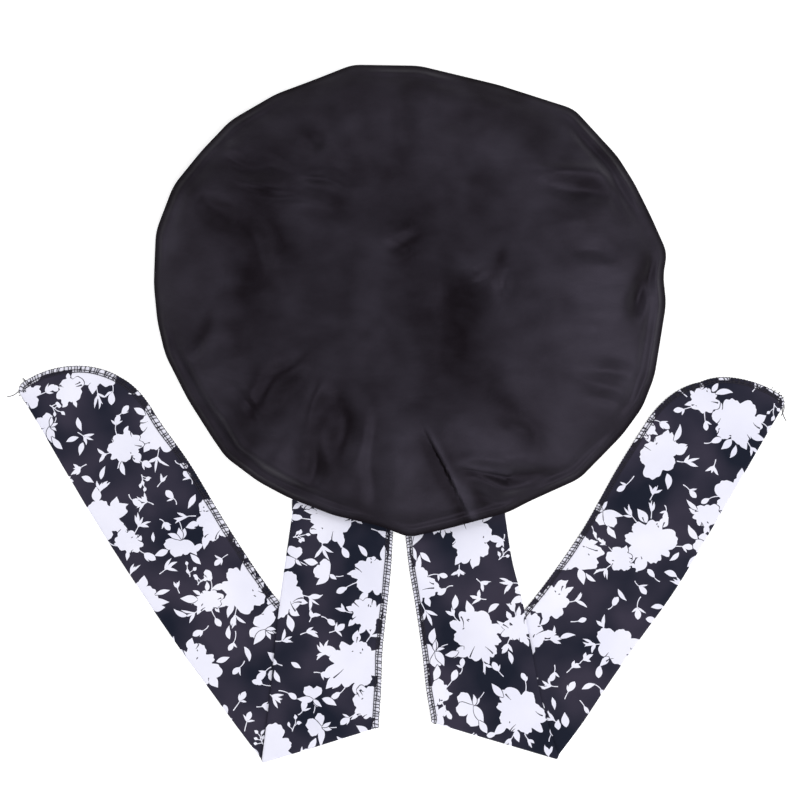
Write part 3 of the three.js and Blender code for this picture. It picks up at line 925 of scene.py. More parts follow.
def ring_area(ring):
    """The area inside a ring, negative when it runs clockwise."""
    x, y = ring[:, 0], ring[:, 1]
    return float(np.sum(x * np.roll(y, -1) - np.roll(x, -1) * y)) / 2


def counterclockwise(ring):
    return ring if ring_area(ring) > 0 else ring[::-1]


def unit(vectors):
    return vectors / np.linalg.norm(vectors, axis=1)[:, None]


def sides_of(path):
    """Unit vectors square to a path at its points, to the left of its direction of travel."""
    tangent = unit(np.gradient(path, axis=0))
    return np.column_stack([-tangent[:, 1], tangent[:, 0]])


def nearest_on_path(points, path):
    """The nearest point on a path to each point, how far it is, and 1 or -1 for its left or right side."""
    points = np.asarray(points, float)
    starts, runs = path[:-1], path[1:] - path[:-1]
    lengths = np.sum(runs * runs, axis=1)
    feet, away, side = [], [], []
    for first in range(0, len(points), AT_ONCE):
        some = points[first:first + AT_ONCE]
        gap = some[:, None, :] - starts[None, :, :]
        share = np.clip(np.sum(gap * runs, axis=2) / lengths, 0, 1)
        near = starts + share[:, :, None] * runs
        distance = np.linalg.norm(some[:, None, :] - near, axis=2)
        best = np.argmin(distance, axis=1)
        rows = np.arange(len(some))
        run, off = runs[best], gap[rows, best]
        feet.append(near[rows, best])
        away.append(distance[rows, best])
        side.append(np.sign(run[:, 0] * off[:, 1] - run[:, 1] * off[:, 0]))
    return np.concatenate(feet), np.concatenate(away), np.concatenate(side)


def offset_path(path, distance):
    """A path beside another, to the left of its direction of travel when distance is positive."""
    return path + sides_of(path) * distance


def wrinkle_height(plan):
    """Soft wrinkles of the ties, the same for every layer at a place, and never below the surface."""
    x, y = plan[:, 0], plan[:, 1]
    height = np.zeros(len(plan))
    for length, heading, rise, start in TIE_WAVES:
        turn = math.radians(heading)
        wave = np.sin((x * math.cos(turn) + y * math.sin(turn)) * 2 * math.pi / length + start)
        height += rise * (0.5 + 0.5 * wave) ** 2
    for x1, y1, x2, y2, rise, width in TIE_FOLDS:
        run = np.array((x2 - x1, y2 - y1))
        gap = plan - np.array((x1, y1))
        share = np.clip(gap @ run / (run @ run), 0, 1)
        away = np.linalg.norm(gap - share[:, None] * run, axis=1)
        height += rise * np.sin(np.pi * np.clip(share, 0.02, 0.98)) * np.exp(-(away / width) ** 2)
    from_middle = np.linalg.norm(plan - np.array((CROWN_X, CROWN_Y)), axis=1)
    return height * smooth_array(TIE_RISE_FROM - 12, TIE_RISE_FROM + 20, from_middle)


# Flower print: shapes in millimetres about their own middle, each a shade (1 white, 0 black) and a ring

def strip(line, widths):
    """A ring round a curved line, from its points and its width at each."""
    side = sides_of(line) * (np.array(widths, float) / 2)[:, None]
    return np.vstack([line + side, (line - side)[::-1]])


def bent_line(length, bend, count):
    """Points along an arc from the middle outwards along X, turning by the bend over its length."""
    heading = np.linspace(0, bend, count)
    step = length / (count - 1)
    x = np.concatenate([[0], np.cumsum(np.cos(heading[1:])) * step])
    y = np.concatenate([[0], np.cumsum(np.sin(heading[1:])) * step])
    return np.column_stack([x, y])


def turned(ring, angle, place=(0.0, 0.0)):
    c, s = math.cos(angle), math.sin(angle)
    return ring @ np.array(((c, s), (-s, c))) + np.array(place)


def moved(shapes, angle, place=(0.0, 0.0)):
    return [(shade_of, turned(ring, angle, place)) for shade_of, ring in shapes]


def around(angle, radius, share=1.0):
    """The place at an angle about the middle, at a share of the radius."""
    return math.cos(angle) * radius * share, math.sin(angle) * radius * share


def heading_of(line):
    """The angle in which a line ends."""
    run = line[-1] - line[-2]
    return math.atan2(run[1], run[0])


def steps(length, least):
    """How many points a line of the print has."""
    return max(int(length / PRINT_STEP), least)


def leaf(draw, length, width=None):
    """A pointed leaf with a dark gap round it, from its stalk along X."""
    width = width or length * draw.uniform(0.28, 0.46)
    count = steps(length, 8)
    t = np.linspace(0, 1, count)
    line = bent_line(length, draw.uniform(-0.9, 0.9), count)
    broad = width * np.sin(np.pi * t ** draw.uniform(0.75, 1.2)) ** 1.05 + 0.1
    return [(0.0, strip(line, broad + 2 * PRINT_GAP)), (1.0, strip(line, broad))]


def stalk(length, bend, width=0.75):
    """The line of a thin stalk, and the ring round it."""
    line = bent_line(length, bend, steps(length, 5))
    return line, strip(line, np.linspace(width, width * 0.7, len(line)))


def ruffled(draw, radius, lobes, depth, ruffle):
    """The outline of a full flower: broad lobes of unlike sizes, each with a ruffled rim."""
    count = int(2 * math.pi * radius / PRINT_STEP)
    angle = np.linspace(0, 2 * math.pi, count, endpoint=False)
    starts = [2 * math.pi * (i + draw.uniform(-0.3, 0.3)) / lobes for i in range(lobes)]
    reach = np.ones(count)
    for start, end in zip(starts, starts[1:] + [starts[0] + 2 * math.pi]):
        share = ((angle - start) % (2 * math.pi)) / (end - start)
        lobe = share < 1
        bulge = 1 - depth + depth * np.sin(np.pi * share[lobe]) ** 0.5
        reach[lobe] = draw.uniform(0.84, 1.08) * bulge
    wander = angle + 0.22 * np.sin(2 * angle + draw.uniform(0, 6)) + 0.1 * np.sin(5 * angle)
    reach += ruffle * (np.abs(np.sin(wander * round(radius * 0.62) + draw.uniform(0, 3))) - 0.5)
    reach = (2 * reach + np.roll(reach, 1) + np.roll(reach, -1)) / 4
    long = draw.uniform(1.0, 1.16)
    return np.column_stack([np.cos(angle) * long, np.sin(angle) / long]) * (reach * radius)[:, None]


def slits(draw, radius, count):
    """Short dark slits that run in from the rim, and a few specks beside them."""
    shapes = []
    first = draw.uniform(0, 6)
    for i in range(count):
        angle = first + i * draw.uniform(0.7, 2.4)
        slit = bent_line(radius * draw.uniform(0.2, 0.55), draw.uniform(-1.0, 1.0), 6)
        ring = strip(slit, np.linspace(1.1, 0.2, 6))
        shapes.append((0.0, turned(ring, angle + math.pi, around(angle, radius, 0.95))))
    for _ in range(draw.randint(1, 3)):
        angle = first + draw.uniform(-0.5, 0.5)
        away = radius * draw.uniform(0.4, 0.75)
        speck = strip(bent_line(draw.uniform(1.2, 2.6), 0.5, 5), (0.2, 0.7, 0.9, 0.6, 0.2))
        shapes.append((0.0, turned(speck, draw.uniform(0, 6), around(angle, away))))
    return shapes


def bloom(draw, radius):
    """A large full flower, nearly all white, with a dark gap round it and pointed leaves behind it."""
    ring = ruffled(draw, radius, draw.randint(5, 8), 0.34, 0.1)
    shapes = []
    first = draw.uniform(0, 6)
    for i in range(draw.randint(3, 5)):
        angle = first + i * draw.uniform(0.4, 1.9)
        tip = petal(draw, radius * draw.uniform(0.45, 0.75), radius * draw.uniform(0.24, 0.36), "pointed")
        turn = angle + draw.uniform(-0.5, 0.5)
        shapes.append((1.0, turned(tip, turn, around(angle, radius, 0.72))))
    gap = ring * (1 + PRINT_GAP / radius)
    return [(0.0, gap)] + shapes + [(1.0, ring)] + slits(draw, radius, draw.randint(2, 5))


def petal(draw, length, width, tip):
    """A petal from its base along X, with a ragged round tip or a pointed one."""
    count = steps(length, 9)
    t = np.linspace(0, 1, count)
    line = bent_line(length, draw.uniform(-0.6, 0.6), count)
    if tip == "pointed":
        return strip(line, width * np.sin(np.pi * t ** 0.8) ** 1.1 + 0.15)
    ring = strip(line, width * np.sin(np.pi * t ** 1.6 * 0.96) ** 0.7 + 0.4)
    away = np.linalg.norm(ring, axis=1)
    tooth = 1.1 * np.abs(np.sin(np.arange(len(ring)) * draw.uniform(1.0, 1.4) + draw.uniform(0, 3))) - 0.6
    far = smooth_array(0.6 * length, 0.9 * length, away)
    return ring + ring / np.maximum(away, 1)[:, None] * (tooth * far)[:, None]


def fan_flower(draw, radius):
    """A smaller flower seen from its side: broad petals to one side, pointed ones and a stalk behind."""
    shapes = []
    broad = draw.randint(2, 3)
    spread = draw.uniform(0.75, 1.0)
    for i in range(broad + 1):
        angle = (i - broad / 2) * spread + draw.uniform(-0.15, 0.15)
        if i < broad:
            length = radius * draw.uniform(0.95, 1.3)
            ring = petal(draw, length, length * draw.uniform(0.6, 0.82), "round")
        else:
            length = radius * draw.uniform(1.2, 1.5)
            ring = petal(draw, length, length * draw.uniform(0.34, 0.46), "pointed")
        if i and draw.random() < 0.35:
            shapes.append((0.0, turned(with_gap(ring), angle)))
        shapes.append((1.0, turned(ring, angle)))
    for i in range(draw.randint(1, 3)):
        angle = math.pi + (i - 0.7) * draw.uniform(0.5, 0.8)
        shapes += moved(leaf(draw, radius * draw.uniform(0.55, 0.95)), angle)
    stem = stalk(radius * draw.uniform(0.8, 1.3), draw.uniform(-1.2, 1.2))[1]
    shapes.insert(0, (1.0, turned(stem, math.pi + draw.uniform(-0.6, 0.6))))
    return moved(shapes, 0.0, (-radius * 0.25, 0.0))


def with_gap(ring):
    """A ring a little larger than another, about its own middle."""
    middle = ring.mean(axis=0)
    away = np.linalg.norm(ring - middle, axis=1)
    return middle + (ring - middle) * (1 + PRINT_GAP / np.maximum(away, 1.5))[:, None]


def tulip(draw, length):
    """A closed bud with a toothed tip, at the end of a thin stalk."""
    line, stem = stalk(length, draw.uniform(-1.1, 1.1))
    size = draw.uniform(6.5, 9.5)
    count = steps(size, 9)
    widths = size * 0.52 * np.sin(np.pi * np.linspace(0, 1, count) ** 1.2) ** 0.7 + 0.3
    drop = strip(bent_line(size, draw.uniform(-0.4, 0.4), count), widths)
    turn = heading_of(line)
    shapes = [(1.0, stem), (1.0, turned(drop, turn, line[-1] * 0.98))]
    for side in (-1, 1):
        if draw.random() < 0.6:
            tooth = leaf(draw, size * draw.uniform(0.6, 0.9), 1.5)[1:]
            shapes += moved(tooth, turn + side * draw.uniform(0.5, 0.9), line[-1] * 0.9)
    return shapes


def sprig(draw, length):
    """A thin stalk that forks into narrow pointed leaves."""
    line, stem = stalk(length * 0.45, draw.uniform(-0.5, 0.5))
    turn = heading_of(line)
    shapes = [(1.0, stem)]
    count = draw.randint(3, 5)
    for i in range(count):
        angle = turn + (i - (count - 1) / 2) * draw.uniform(0.34, 0.5)
        blade = leaf(draw, length * draw.uniform(0.45, 0.75), draw.uniform(1.5, 2.6))[1:]
        shapes += moved(blade, angle, line[-1 - (i % 2)] * 0.97)
    return shapes


def berries(draw, length):
    """A sprig of small drops on short stalks."""
    line, stem = stalk(length, draw.uniform(-0.8, 0.8))
    shapes = [(1.0, stem)]
    side = 1
    for share in np.linspace(0.3, 1.0, draw.randint(3, 5)):
        at = line[min(int(share * (len(line) - 1)), len(line) - 1)]
        angle = side * draw.uniform(0.5, 1.1) * (share < 1)
        twig, ring = stalk(draw.uniform(2.0, 4.0), 0.3, 0.6)
        shapes.append((1.0, turned(ring, angle, at)))
        end = turned(twig[-1:], angle, at)[0]
        drop = leaf(draw, draw.uniform(3.2, 4.8), draw.uniform(2.0, 2.8))[1:]
        shapes += moved(drop, angle, end - turned(np.array([(0.5, 0.0)]), angle)[0])
        side = -side
    return shapes


def thinned(ring):
    """A ring without the points that lie on the line between their neighbours."""
    kept = [ring[0]]
    for point, after in zip(ring[1:], np.roll(ring, -1, axis=0)[1:]):
        run, off = after - kept[-1], point - kept[-1]
        length = max(float(np.linalg.norm(run)), 1e-6)
        if abs(run[0] * off[1] - run[1] * off[0]) / length > PRINT_SLACK or length > PRINT_LONGEST:
            kept.append(point)
    return np.array(kept)


def centred(motif, length, back):
    """Draws a motif about its middle: its length and how far back its start is, as shares of its size."""
    return lambda draw, size: moved(motif(draw, size * length), 0, (-size * back, 0))


def flower_print(draw, contains, low, high, settings):
    """Places the print's motifs: returns where each is, its size and its shapes, the topmost last."""
    layers = []

    def free(x, y, size, near):
        """Whether a motif would be on the cloth, and far enough from the others."""
        gaps = (math.hypot(x - a, y - b) > near * (size + other) for a, b, other, _ in layers)
        return contains(x, y) and all(gaps)

    def put(x, y, size, shapes, angle):
        placed = [(shade_of, thinned(ring)) for shade_of, ring in moved(shapes, angle, (x, y))]
        layers.append((x, y, size, placed))

    def scatter(tries, between, near, motif):
        for _ in range(tries):
            x, y = draw.uniform(low[0], high[0]), draw.uniform(low[1], high[1])
            size = draw.uniform(*between)
            if free(x, y, size, near):
                put(x, y, size, motif(draw, size), draw.uniform(0, 2 * math.pi))

    def beside(x, y, radius, tries, between, near, motif, out):
        """Puts smaller motifs round one that is placed already, pointing away from it."""
        for _ in range(tries):
            angle = draw.uniform(0, 2 * math.pi)
            size = draw.uniform(*between)
            away = radius * 1.02 + size * out
            px, py = x + math.cos(angle) * away, y + math.sin(angle) * away
            if free(px, py, size, near):
                put(px, py, size, motif(draw, size), angle)

    large = settings.bloom_radius / MM
    scatter(1500, [large * share for share in BLOOM_SPREAD], 1.52, bloom)
    for x, y, size, _ in list(layers):
        beside(x, y, size, 1, [large * share for share in SMALL_BLOOM_SPREAD], 0.93, bloom, 0.86)
    for x, y, size, _ in list(layers):
        beside(x, y, size, 2, (5.4, 7.8), 0.84, centred(sprig, 2.1, 1.2), 0.72)
        beside(x, y, size, 2, (5.0, 7.0), 0.84, centred(tulip, 1.5, 1.4), 0.8)
    scatter(260, (5.4, 7.6), 1.3, centred(sprig, 2.0, 1.0))
    scatter(260, (5.4, 7.4), 1.25, centred(tulip, 1.4, 1.3))
    scatter(1100, (9.4, 12.5), 1.05, fan_flower)
    for x, y, size, _ in list(layers):
        beside(x, y, size, 3, (4.6, 6.8), 0.9, centred(leaf, 2.1, 1.1), 0.75)
    scatter(900, (4.6, 6.6), 0.95, centred(tulip, 1.0, 0.9))
    scatter(900, (4.8, 7.0), 0.95, centred(sprig, 2.0, 1.0))
    scatter(900, (4.2, 6.0), 1.0, centred(berries, 1.5, 0.9))
    scatter(500, (3.4, 5.0), 1.2, centred(leaf, 2.0, 1.0))
    return layers


def covered(points, ring):
    """The rows of the points that lie inside a ring."""
    near = np.flatnonzero(np.all((points >= ring.min(axis=0)) & (points <= ring.max(axis=0)), axis=1))
    x, y = points[near, 0][:, None], points[near, 1][:, None]
    ax, ay = ring[:, 0], ring[:, 1]
    bx, by = np.roll(ax, -1), np.roll(ay, -1)
    run = np.where(by == ay, 1.0, by - ay)
    crossed = ((ay > y) != (by > y)) & (x < ax + (y - ay) * (bx - ax) / run)
    return near[np.count_nonzero(crossed, axis=1) % 2 == 1]


def cut_cloth(outline, lines, grid, shapes):
    """Triangles of flat cloth inside an outline, split along the shapes printed on it.

    Returns their corners, the triangles and the print's shade on each.
    """
    points = [tuple(p) for p in counterclockwise(outline)]
    whole = list(range(len(points)))
    edges = []
    for line in lines:
        edges.extend((len(points) + i, len(points) + i + 1) for i in range(len(line) - 1))
        points.extend(map(tuple, line))
    for _, ring in shapes:
        first, count = len(points), len(ring)
        edges.extend((first + i, first + (i + 1) % count) for i in range(count))
        points.extend(map(tuple, ring))
    points.extend(grid)
    made = geometry.delaunay_2d_cdt([Vector(p) for p in points], edges, [whole], 0, MERGE_DISTANCE)
    triangles = [tuple(triangle) for triangle, owners in zip(made[2], made[5]) if owners]
    used = sorted({corner for triangle in triangles for corner in triangle})
    row = {corner: i for i, corner in enumerate(used)}
    corners = np.array([tuple(made[0][corner]) for corner in used])
    triangles = [tuple(row[corner] for corner in triangle) for triangle in triangles]
    middles = corners[np.array(triangles)].mean(axis=1)
    shades = np.zeros(len(triangles))
    for shade_of, ring in shapes:
        shades[covered(middles, ring)] = shade_of
    return corners, triangles, shades


def grid_points(outline, pitch):
    """Points of a grid over the outline's extent, every second row half a pitch to the side."""
    low, high = outline.min(axis=0), outline.max(axis=0)
    points = []
    row = 0
    y = low[1] + pitch / 2
    while y < high[1]:
        x = low[0] + pitch * (0.25 + 0.5 * (row % 2))
        while x < high[0]:
            points.append((x, y))
            x += pitch
        y += pitch * 0.87
        row += 1
    return points


def print_on_tie(plan, draw, settings):
    """The print's shapes on the upper and the lower layer of a tie, going on round its folded edge."""

    def on_cloth(x, y):
        point = np.array([(x, y)])
        if plan.depth(point)[0] < 0:
            point = plan.mirrored(point)
        if len(covered(point, plan.outline)):
            return True
        return nearest_on_path(point, plan.seam)[1][0] < PRINT_MARGIN

    low = plan.outline.min(axis=0) - TIE_WIDTH
    high = plan.outline.max(axis=0) + TIE_WIDTH
    upper, lower = [], []
    for x, y, size, shapes in flower_print(draw, on_cloth, low, high, settings):
        depth = plan.depth(np.array([(x, y)]))[0]
        if depth > -PRINT_NEAR * size:
            upper += shapes
        if depth < PRINT_NEAR * size:
            turned_over = [(shade_of, plan.mirrored(ring)) for shade_of, ring in shapes]
            lower += [(shade_of, ring) for shade_of, ring in turned_over if longest_side(ring) < PRINT_TORN]
    return upper, lower


def longest_side(ring):
    """The longest side of a ring, which is long where the fold has torn it."""
    return float(np.linalg.norm(ring - np.roll(ring, 1, axis=0), axis=1).max())


def white_edge(plan, name):
    """The cut edge, where the cloth's white back shows between the threads, in short lengths."""
    inner_leg, outer_leg, tip, tip_length = WHITE_EDGES[name]
    along = np.arange(len(plan.seam)) * SEAM_STEP
    at_tip = 1 - smooth_array(0.6 * tip_length, tip_length, along[-1] - along)
    beyond = -(plan.seam - plan.axis) @ plan.inward
    width = np.where(beyond < 0, inner_leg, mix(outer_leg, tip, at_tip))
    width = width * (1 + 0.2 * np.sin(along * 1.7) * np.sin(along * 0.31) + 0.22 * np.sin(along * 0.093))
    outside = offset_path(plan.seam, plan.hand * 0.6)
    inside = plan.seam + (offset_path(plan.seam, -plan.hand) - plan.seam) * width[:, None]
    lengths = []
    for first in range(0, len(plan.seam) - 1, EDGE_RUN):
        piece = slice(first, first + EDGE_RUN + 1)
        if width[piece].min() > 0.3:
            lengths.append((1.0, np.vstack([outside[piece], inside[piece][::-1]])))
    return lengths


def tie_layer(plan, side, shapes, pitch):
    """One layer of a tie's cloth: its corners, its faces, their shades, and the corners' flat places."""
    lines = [offset_path(plan.folded, inset * plan.hand) for inset in FOLD_INSETS]
    across = np.array((plan.inward[1], -plan.inward[0]))
    reach = np.linspace(-1.5 * TIE_WIDTH, 1.5 * TIE_WIDTH, ROLL_POINTS)
    for i in range(ROLL_STEPS + 1):
        middle = plan.axis - plan.inward * plan.roll * i / ROLL_STEPS
        lines.append(middle + across * reach[:, None])
    flat, faces, shades = cut_cloth(plan.outline, lines, grid_points(plan.outline, pitch), shapes)
    points = plan.placed(flat, plan.half_thickness(flat) * side)
    if side < 0:
        faces = [face[::-1] for face in faces]
    return points, faces, shades, flat


def printed_object(name, parts, wall):
    """An object of printed cloth from its layers, merged where they meet, with a wall to the inside.

    Each part has its points, its faces, their shades, and its points' places on the flat cloth.
    """
    points, faces, shades, places = [], [], [], []
    for part_points, part_faces, part_shades, part_flat in parts:
        first = len(points)
        points.extend(map(tuple, part_points))
        places.extend(map(tuple, part_flat))
        faces.extend(tuple(first + corner for corner in face) for face in part_faces)
        shades.extend(part_shades)
    obj = new_object(name, points, faces)
    mesh = obj.data
    corners = [loop.vertex_index for loop in mesh.loops]
    uv = mesh.uv_layers.new(name="cloth")
    uv.data.foreach_set("uv", [c * MM for corner in corners for c in places[corner]])
    printed = mesh.attributes.new("print", "FLOAT", "CORNER")
    printed.data.foreach_set("value", [shade_of for shade_of in shades for _ in range(3)])
    bm = bmesh.new()
    bm.from_mesh(mesh)
    bmesh.ops.remove_doubles(bm, verts=bm.verts, dist=MERGE_DISTANCE / 2 * MM)
    bmesh.ops.dissolve_degenerate(bm, dist=SLIVER * MM, edges=bm.edges)
    bmesh.ops.holes_fill(bm, edges=[edge for edge in bm.edges if edge.is_boundary], sides=8)
    bm.to_mesh(mesh)
    bm.free()
    give_wall(obj, wall)
    keep_above_floor(obj)
    shade(obj)
    return obj


def make_tie(name, plan, settings):
    """A tie's cloth: two printed layers, joined at the folded edge and at the seam."""
    draw = random.Random(settings.print_seed + list(TIE_SHAPES).index(name))
    upper, lower = print_on_tie(plan, draw, settings)
    edge = white_edge(plan, name)
    pitch = settings.cloth_pitch / MM
    parts = [
        tie_layer(plan, 1, upper + edge, pitch),
        tie_layer(plan, -1, lower + edge, pitch),
    ]
    return printed_object(name + "_cloth", parts, settings.knit_wall / MM)


# Headband

def band_point(angle, at, offset):
    """A point of the headband at a row of its section, off the middle of its cloth, with soft tucks."""
    radius, height = spline(BAND_PROFILE, at)
    before, after = spline(BAND_PROFILE, at - 0.02), spline(BAND_PROFILE, at + 0.02)
    run = math.dist(before, after)
    radius += offset * (before[1] - after[1]) / run
    height += offset * (after[0] - before[0]) / run
    tuck = 0.6 * math.sin(angle * BAND_TUCKS + 0.8 * math.sin(angle * 5)) + 0.3 * math.sin(angle * 31 + at)
    free = hill(0.0, 0.6, 4.0, 5.5, at)
    radius += 0.5 * tuck * free
    height = max(height - 0.3 * abs(tuck) * free, 0.0)
    return CROWN_X + radius * math.cos(angle), CROWN_Y + radius * math.sin(angle), height


def make_headband(settings):
    """The doubled strip round the mouth, printed like the ties."""
    draw = random.Random(settings.print_seed + 7)
    length = 2 * math.pi * BAND_PRINT_RADIUS
    reached = [0.0]
    for before, after in zip(BAND_PROFILE, BAND_PROFILE[1:]):
        reached.append(reached[-1] + math.dist(before, after))
    width = reached[-1]
    ends = np.linspace(0, length, BAND_ARCS + 1)
    sides = np.linspace(0, width, BAND_SIDE_ARCS + 1)
    outline = np.vstack([
        np.column_stack([ends[:-1], 0 * ends[:-1]]),
        np.column_stack([0 * sides[:-1] + length, sides[:-1]]),
        np.column_stack([ends[:0:-1], 0 * ends[:0:-1] + width]),
        np.column_stack([0 * sides[:0:-1], sides[:0:-1]]),
    ])
    fold_lines = [np.column_stack([ends, 0 * ends + width - inset]) for inset in FOLD_INSETS]
    shapes = []
    low, high = np.array((0.0, 0.0)), np.array((length, width))
    for x, _, size, motif in flower_print(draw, lambda x, y: True, low, high, settings):
        if size < BAND_LEAST_MOTIF:
            continue
        for turn in (-length, 0.0, length):
            if -2 * size < x + turn < length + 2 * size:
                shapes += [(shade_of, ring + np.array((turn, 0.0))) for shade_of, ring in motif]
    flat, faces, shades = cut_cloth(outline, fold_lines, grid_points(outline, BAND_PITCH), shapes)
    rows_at = np.interp(flat[:, 1], reached, range(len(reached)))
    rounded = rounded_off(width - flat[:, 1])
    parts = []
    for side in (1, -1):
        points = [
            band_point(2 * math.pi * x / length, at, side * BAND_CLOTH / 2 * half)
            for x, at, half in zip(flat[:, 0], rows_at, rounded)
        ]
        turned_faces = faces if side < 0 else [face[::-1] for face in faces]
        parts.append((points, turned_faces, shades, flat))
    return printed_object("headband_cloth", parts, settings.knit_wall / MM)


# Overlock seams

class Tubes:
    """Thin tubes gathered into one mesh."""

    def __init__(self, radius):
        self.radius = radius
        self.points = []
        self.faces = []

    def add(self, path, sides=4):
        """A closed tube along a path of points."""
        path = np.asarray(path, float)
        tangent = unit(np.gradient(path, axis=0))
        side = unit(np.cross(tangent, np.array((0.13, 0.21, 0.97))))
        rise = np.cross(side, tangent)
        first = len(self.points)
        for at, s, r in zip(path, side, rise):
            for i in range(sides):
                turn = 2 * math.pi * (i + 0.5) / sides
                self.points.append(tuple(at + (s * math.cos(turn) + r * math.sin(turn)) * self.radius))
        for i in range(len(path) - 1):
            for j in range(sides):
                k = (j + 1) % sides
                a, b = first + i * sides, first + (i + 1) * sides
                self.faces.append((a + k, a + j, b + j, b + k))
        self.faces.append(tuple(first + j for j in range(sides)))
        self.faces.append(tuple(first + (len(path) - 1) * sides + j for j in range(sides))[::-1])


def seam_place(plan, along, inset, side, lift):
    """Points on the outside of a tie beside its seam: along the seam, inset from it, on a side."""
    at = np.clip(np.asarray(along) / SEAM_STEP, 0, len(plan.seam) - 1.001)
    row = at.astype(int)
    share = (at - row)[:, None]
    base = plan.seam[row] * (1 - share) + plan.seam[row + 1] * share
    inward = plan.seam_inward[row] * (1 - share) + plan.seam_inward[row + 1] * share
    flat = base + inward * np.asarray(inset)[:, None]
    return plan.placed(flat, side * (plan.half_thickness(flat) + lift))


def make_stitches(name, plan, settings):
    """Overlock thread: needle lines, loops over the cut edge, a thread along it, and loose thread."""
    tubes = Tubes(settings.thread_radius / MM)
    length = (len(plan.seam) - 1) * SEAM_STEP - 1.0
    pitch = settings.stitch_pitch / MM
    draw = random.Random(settings.print_seed + 40 + list(TIE_SHAPES).index(name))
    for side in (1, -1):
        for inset in NEEDLE_INSETS[name]:
            along = np.arange(0.5, length, pitch / 3)
            dip = np.abs(np.sin(math.pi * along / pitch))
            wander = inset + 0.12 * np.sin(along * 0.21 + inset)
            lift = tubes.radius * (0.15 + 0.75 * dip)
            tubes.add(seam_place(plan, along, wander, side, lift))
    inner = NEEDLE_INSETS[name][-1]
    upper = (inner, inner * 0.62, inner * 0.3, 0.5, -0.1)
    sides, lifts, slants = np.array(LOOP).T
    for i in range(int(length / pitch)):
        start = 0.6 + i * pitch + draw.uniform(-0.45, 0.45)
        along = start + slants * pitch * draw.uniform(-0.3, 1.5)
        tubes.add(seam_place(plan, along, upper + upper[::-1], sides, tubes.radius * lifts))
    edge = np.arange(0.6, length, pitch / 4)
    phase = 2 * math.pi * edge / pitch
    tubes.add(seam_place(plan, edge, -0.15 + 0.2 * np.sin(phase), 0.5 * np.cos(phase), 0.2))
    for _ in range(TANGLES):
        from_end = draw.uniform(0, TANGLE_LENGTH)
        along = length - from_end + np.linspace(0, draw.uniform(-5, 5), TANGLE_POINTS)
        swing = np.sin(np.linspace(0, math.pi, TANGLE_POINTS) * draw.uniform(0.8, 1.3))
        away = draw.uniform(-0.6, 1.2) + swing * draw.uniform(2.0, 5.5)
        tubes.add(seam_place(plan, along, away, 1, tubes.radius * draw.uniform(1.0, 2.6)))
    for shift, bend in LOOSE_ENDS:
        tubes.add(loose_end(plan, length + shift, bend, tubes.radius))
    obj = new_object(name + "_stitches", tubes.points, tubes.faces)
    keep_above_floor(obj)
    shade(obj, 60)
    return obj


def loose_end(plan, along, bend, radius):
    """A thread's end that lies on the surface past the tie's tip."""
    start, back = (seam_place(plan, [at], [0.4], 1, radius)[0] for at in (along, along - 3))
    heading = math.atan2(start[1] - back[1], start[0] - back[0])
    points = []
    x, y, z = start
    for i in range(LOOSE_STEPS):
        points.append((x, y, max(mix(z, radius, min(i / 5, 1)), radius)))
        heading += bend / LOOSE_STEPS
        x += math.cos(heading) * LOOSE_STEP
        y += math.sin(heading) * LOOSE_STEP
    return points


# Settings

class SleepCapSizes(bpy.types.PropertyGroup):
    satin_wall: FloatProperty(
        name="Satin thickness", description="Thickness of the crown's satin",
        default=0.0005, min=0.0002, max=0.0015, unit="LENGTH", precision=5)
    knit_wall: FloatProperty(
        name="Cloth thickness", description="Thickness of one layer of the stretch cloth",
        default=0.00045, min=0.0002, max=0.0008, unit="LENGTH", precision=5)
    crush: FloatProperty(
        name="Crush", description="How strongly the satin is crumpled, with 1 as on the real cap",
        default=1.0, min=0.0, max=2.0, subtype="FACTOR")
    cloth_pitch: FloatProperty(
        name="Cloth grid", description="Distance between the grid points of the ties' cloth",
        default=0.005, min=0.002, max=0.02, unit="LENGTH", precision=4)
    bloom_radius: FloatProperty(
        name="Bloom radius", description="Radius of the print's large flowers",
        default=0.0183, min=0.005, max=0.03, unit="LENGTH", precision=4)
    print_seed: IntProperty(
        name="Print seed", description="Number that sets the layout of the flower print", default=14)
    thread_radius: FloatProperty(
        name="Thread radius", description="Radius of the overlock thread",
        default=0.00036, min=0.0001, max=0.0006, unit="LENGTH", precision=5)
    stitch_pitch: FloatProperty(
        name="Stitch pitch", description="Distance from one overlock stitch to the next",
        default=0.0023, min=0.001, max=0.006, unit="LENGTH", precision=4)


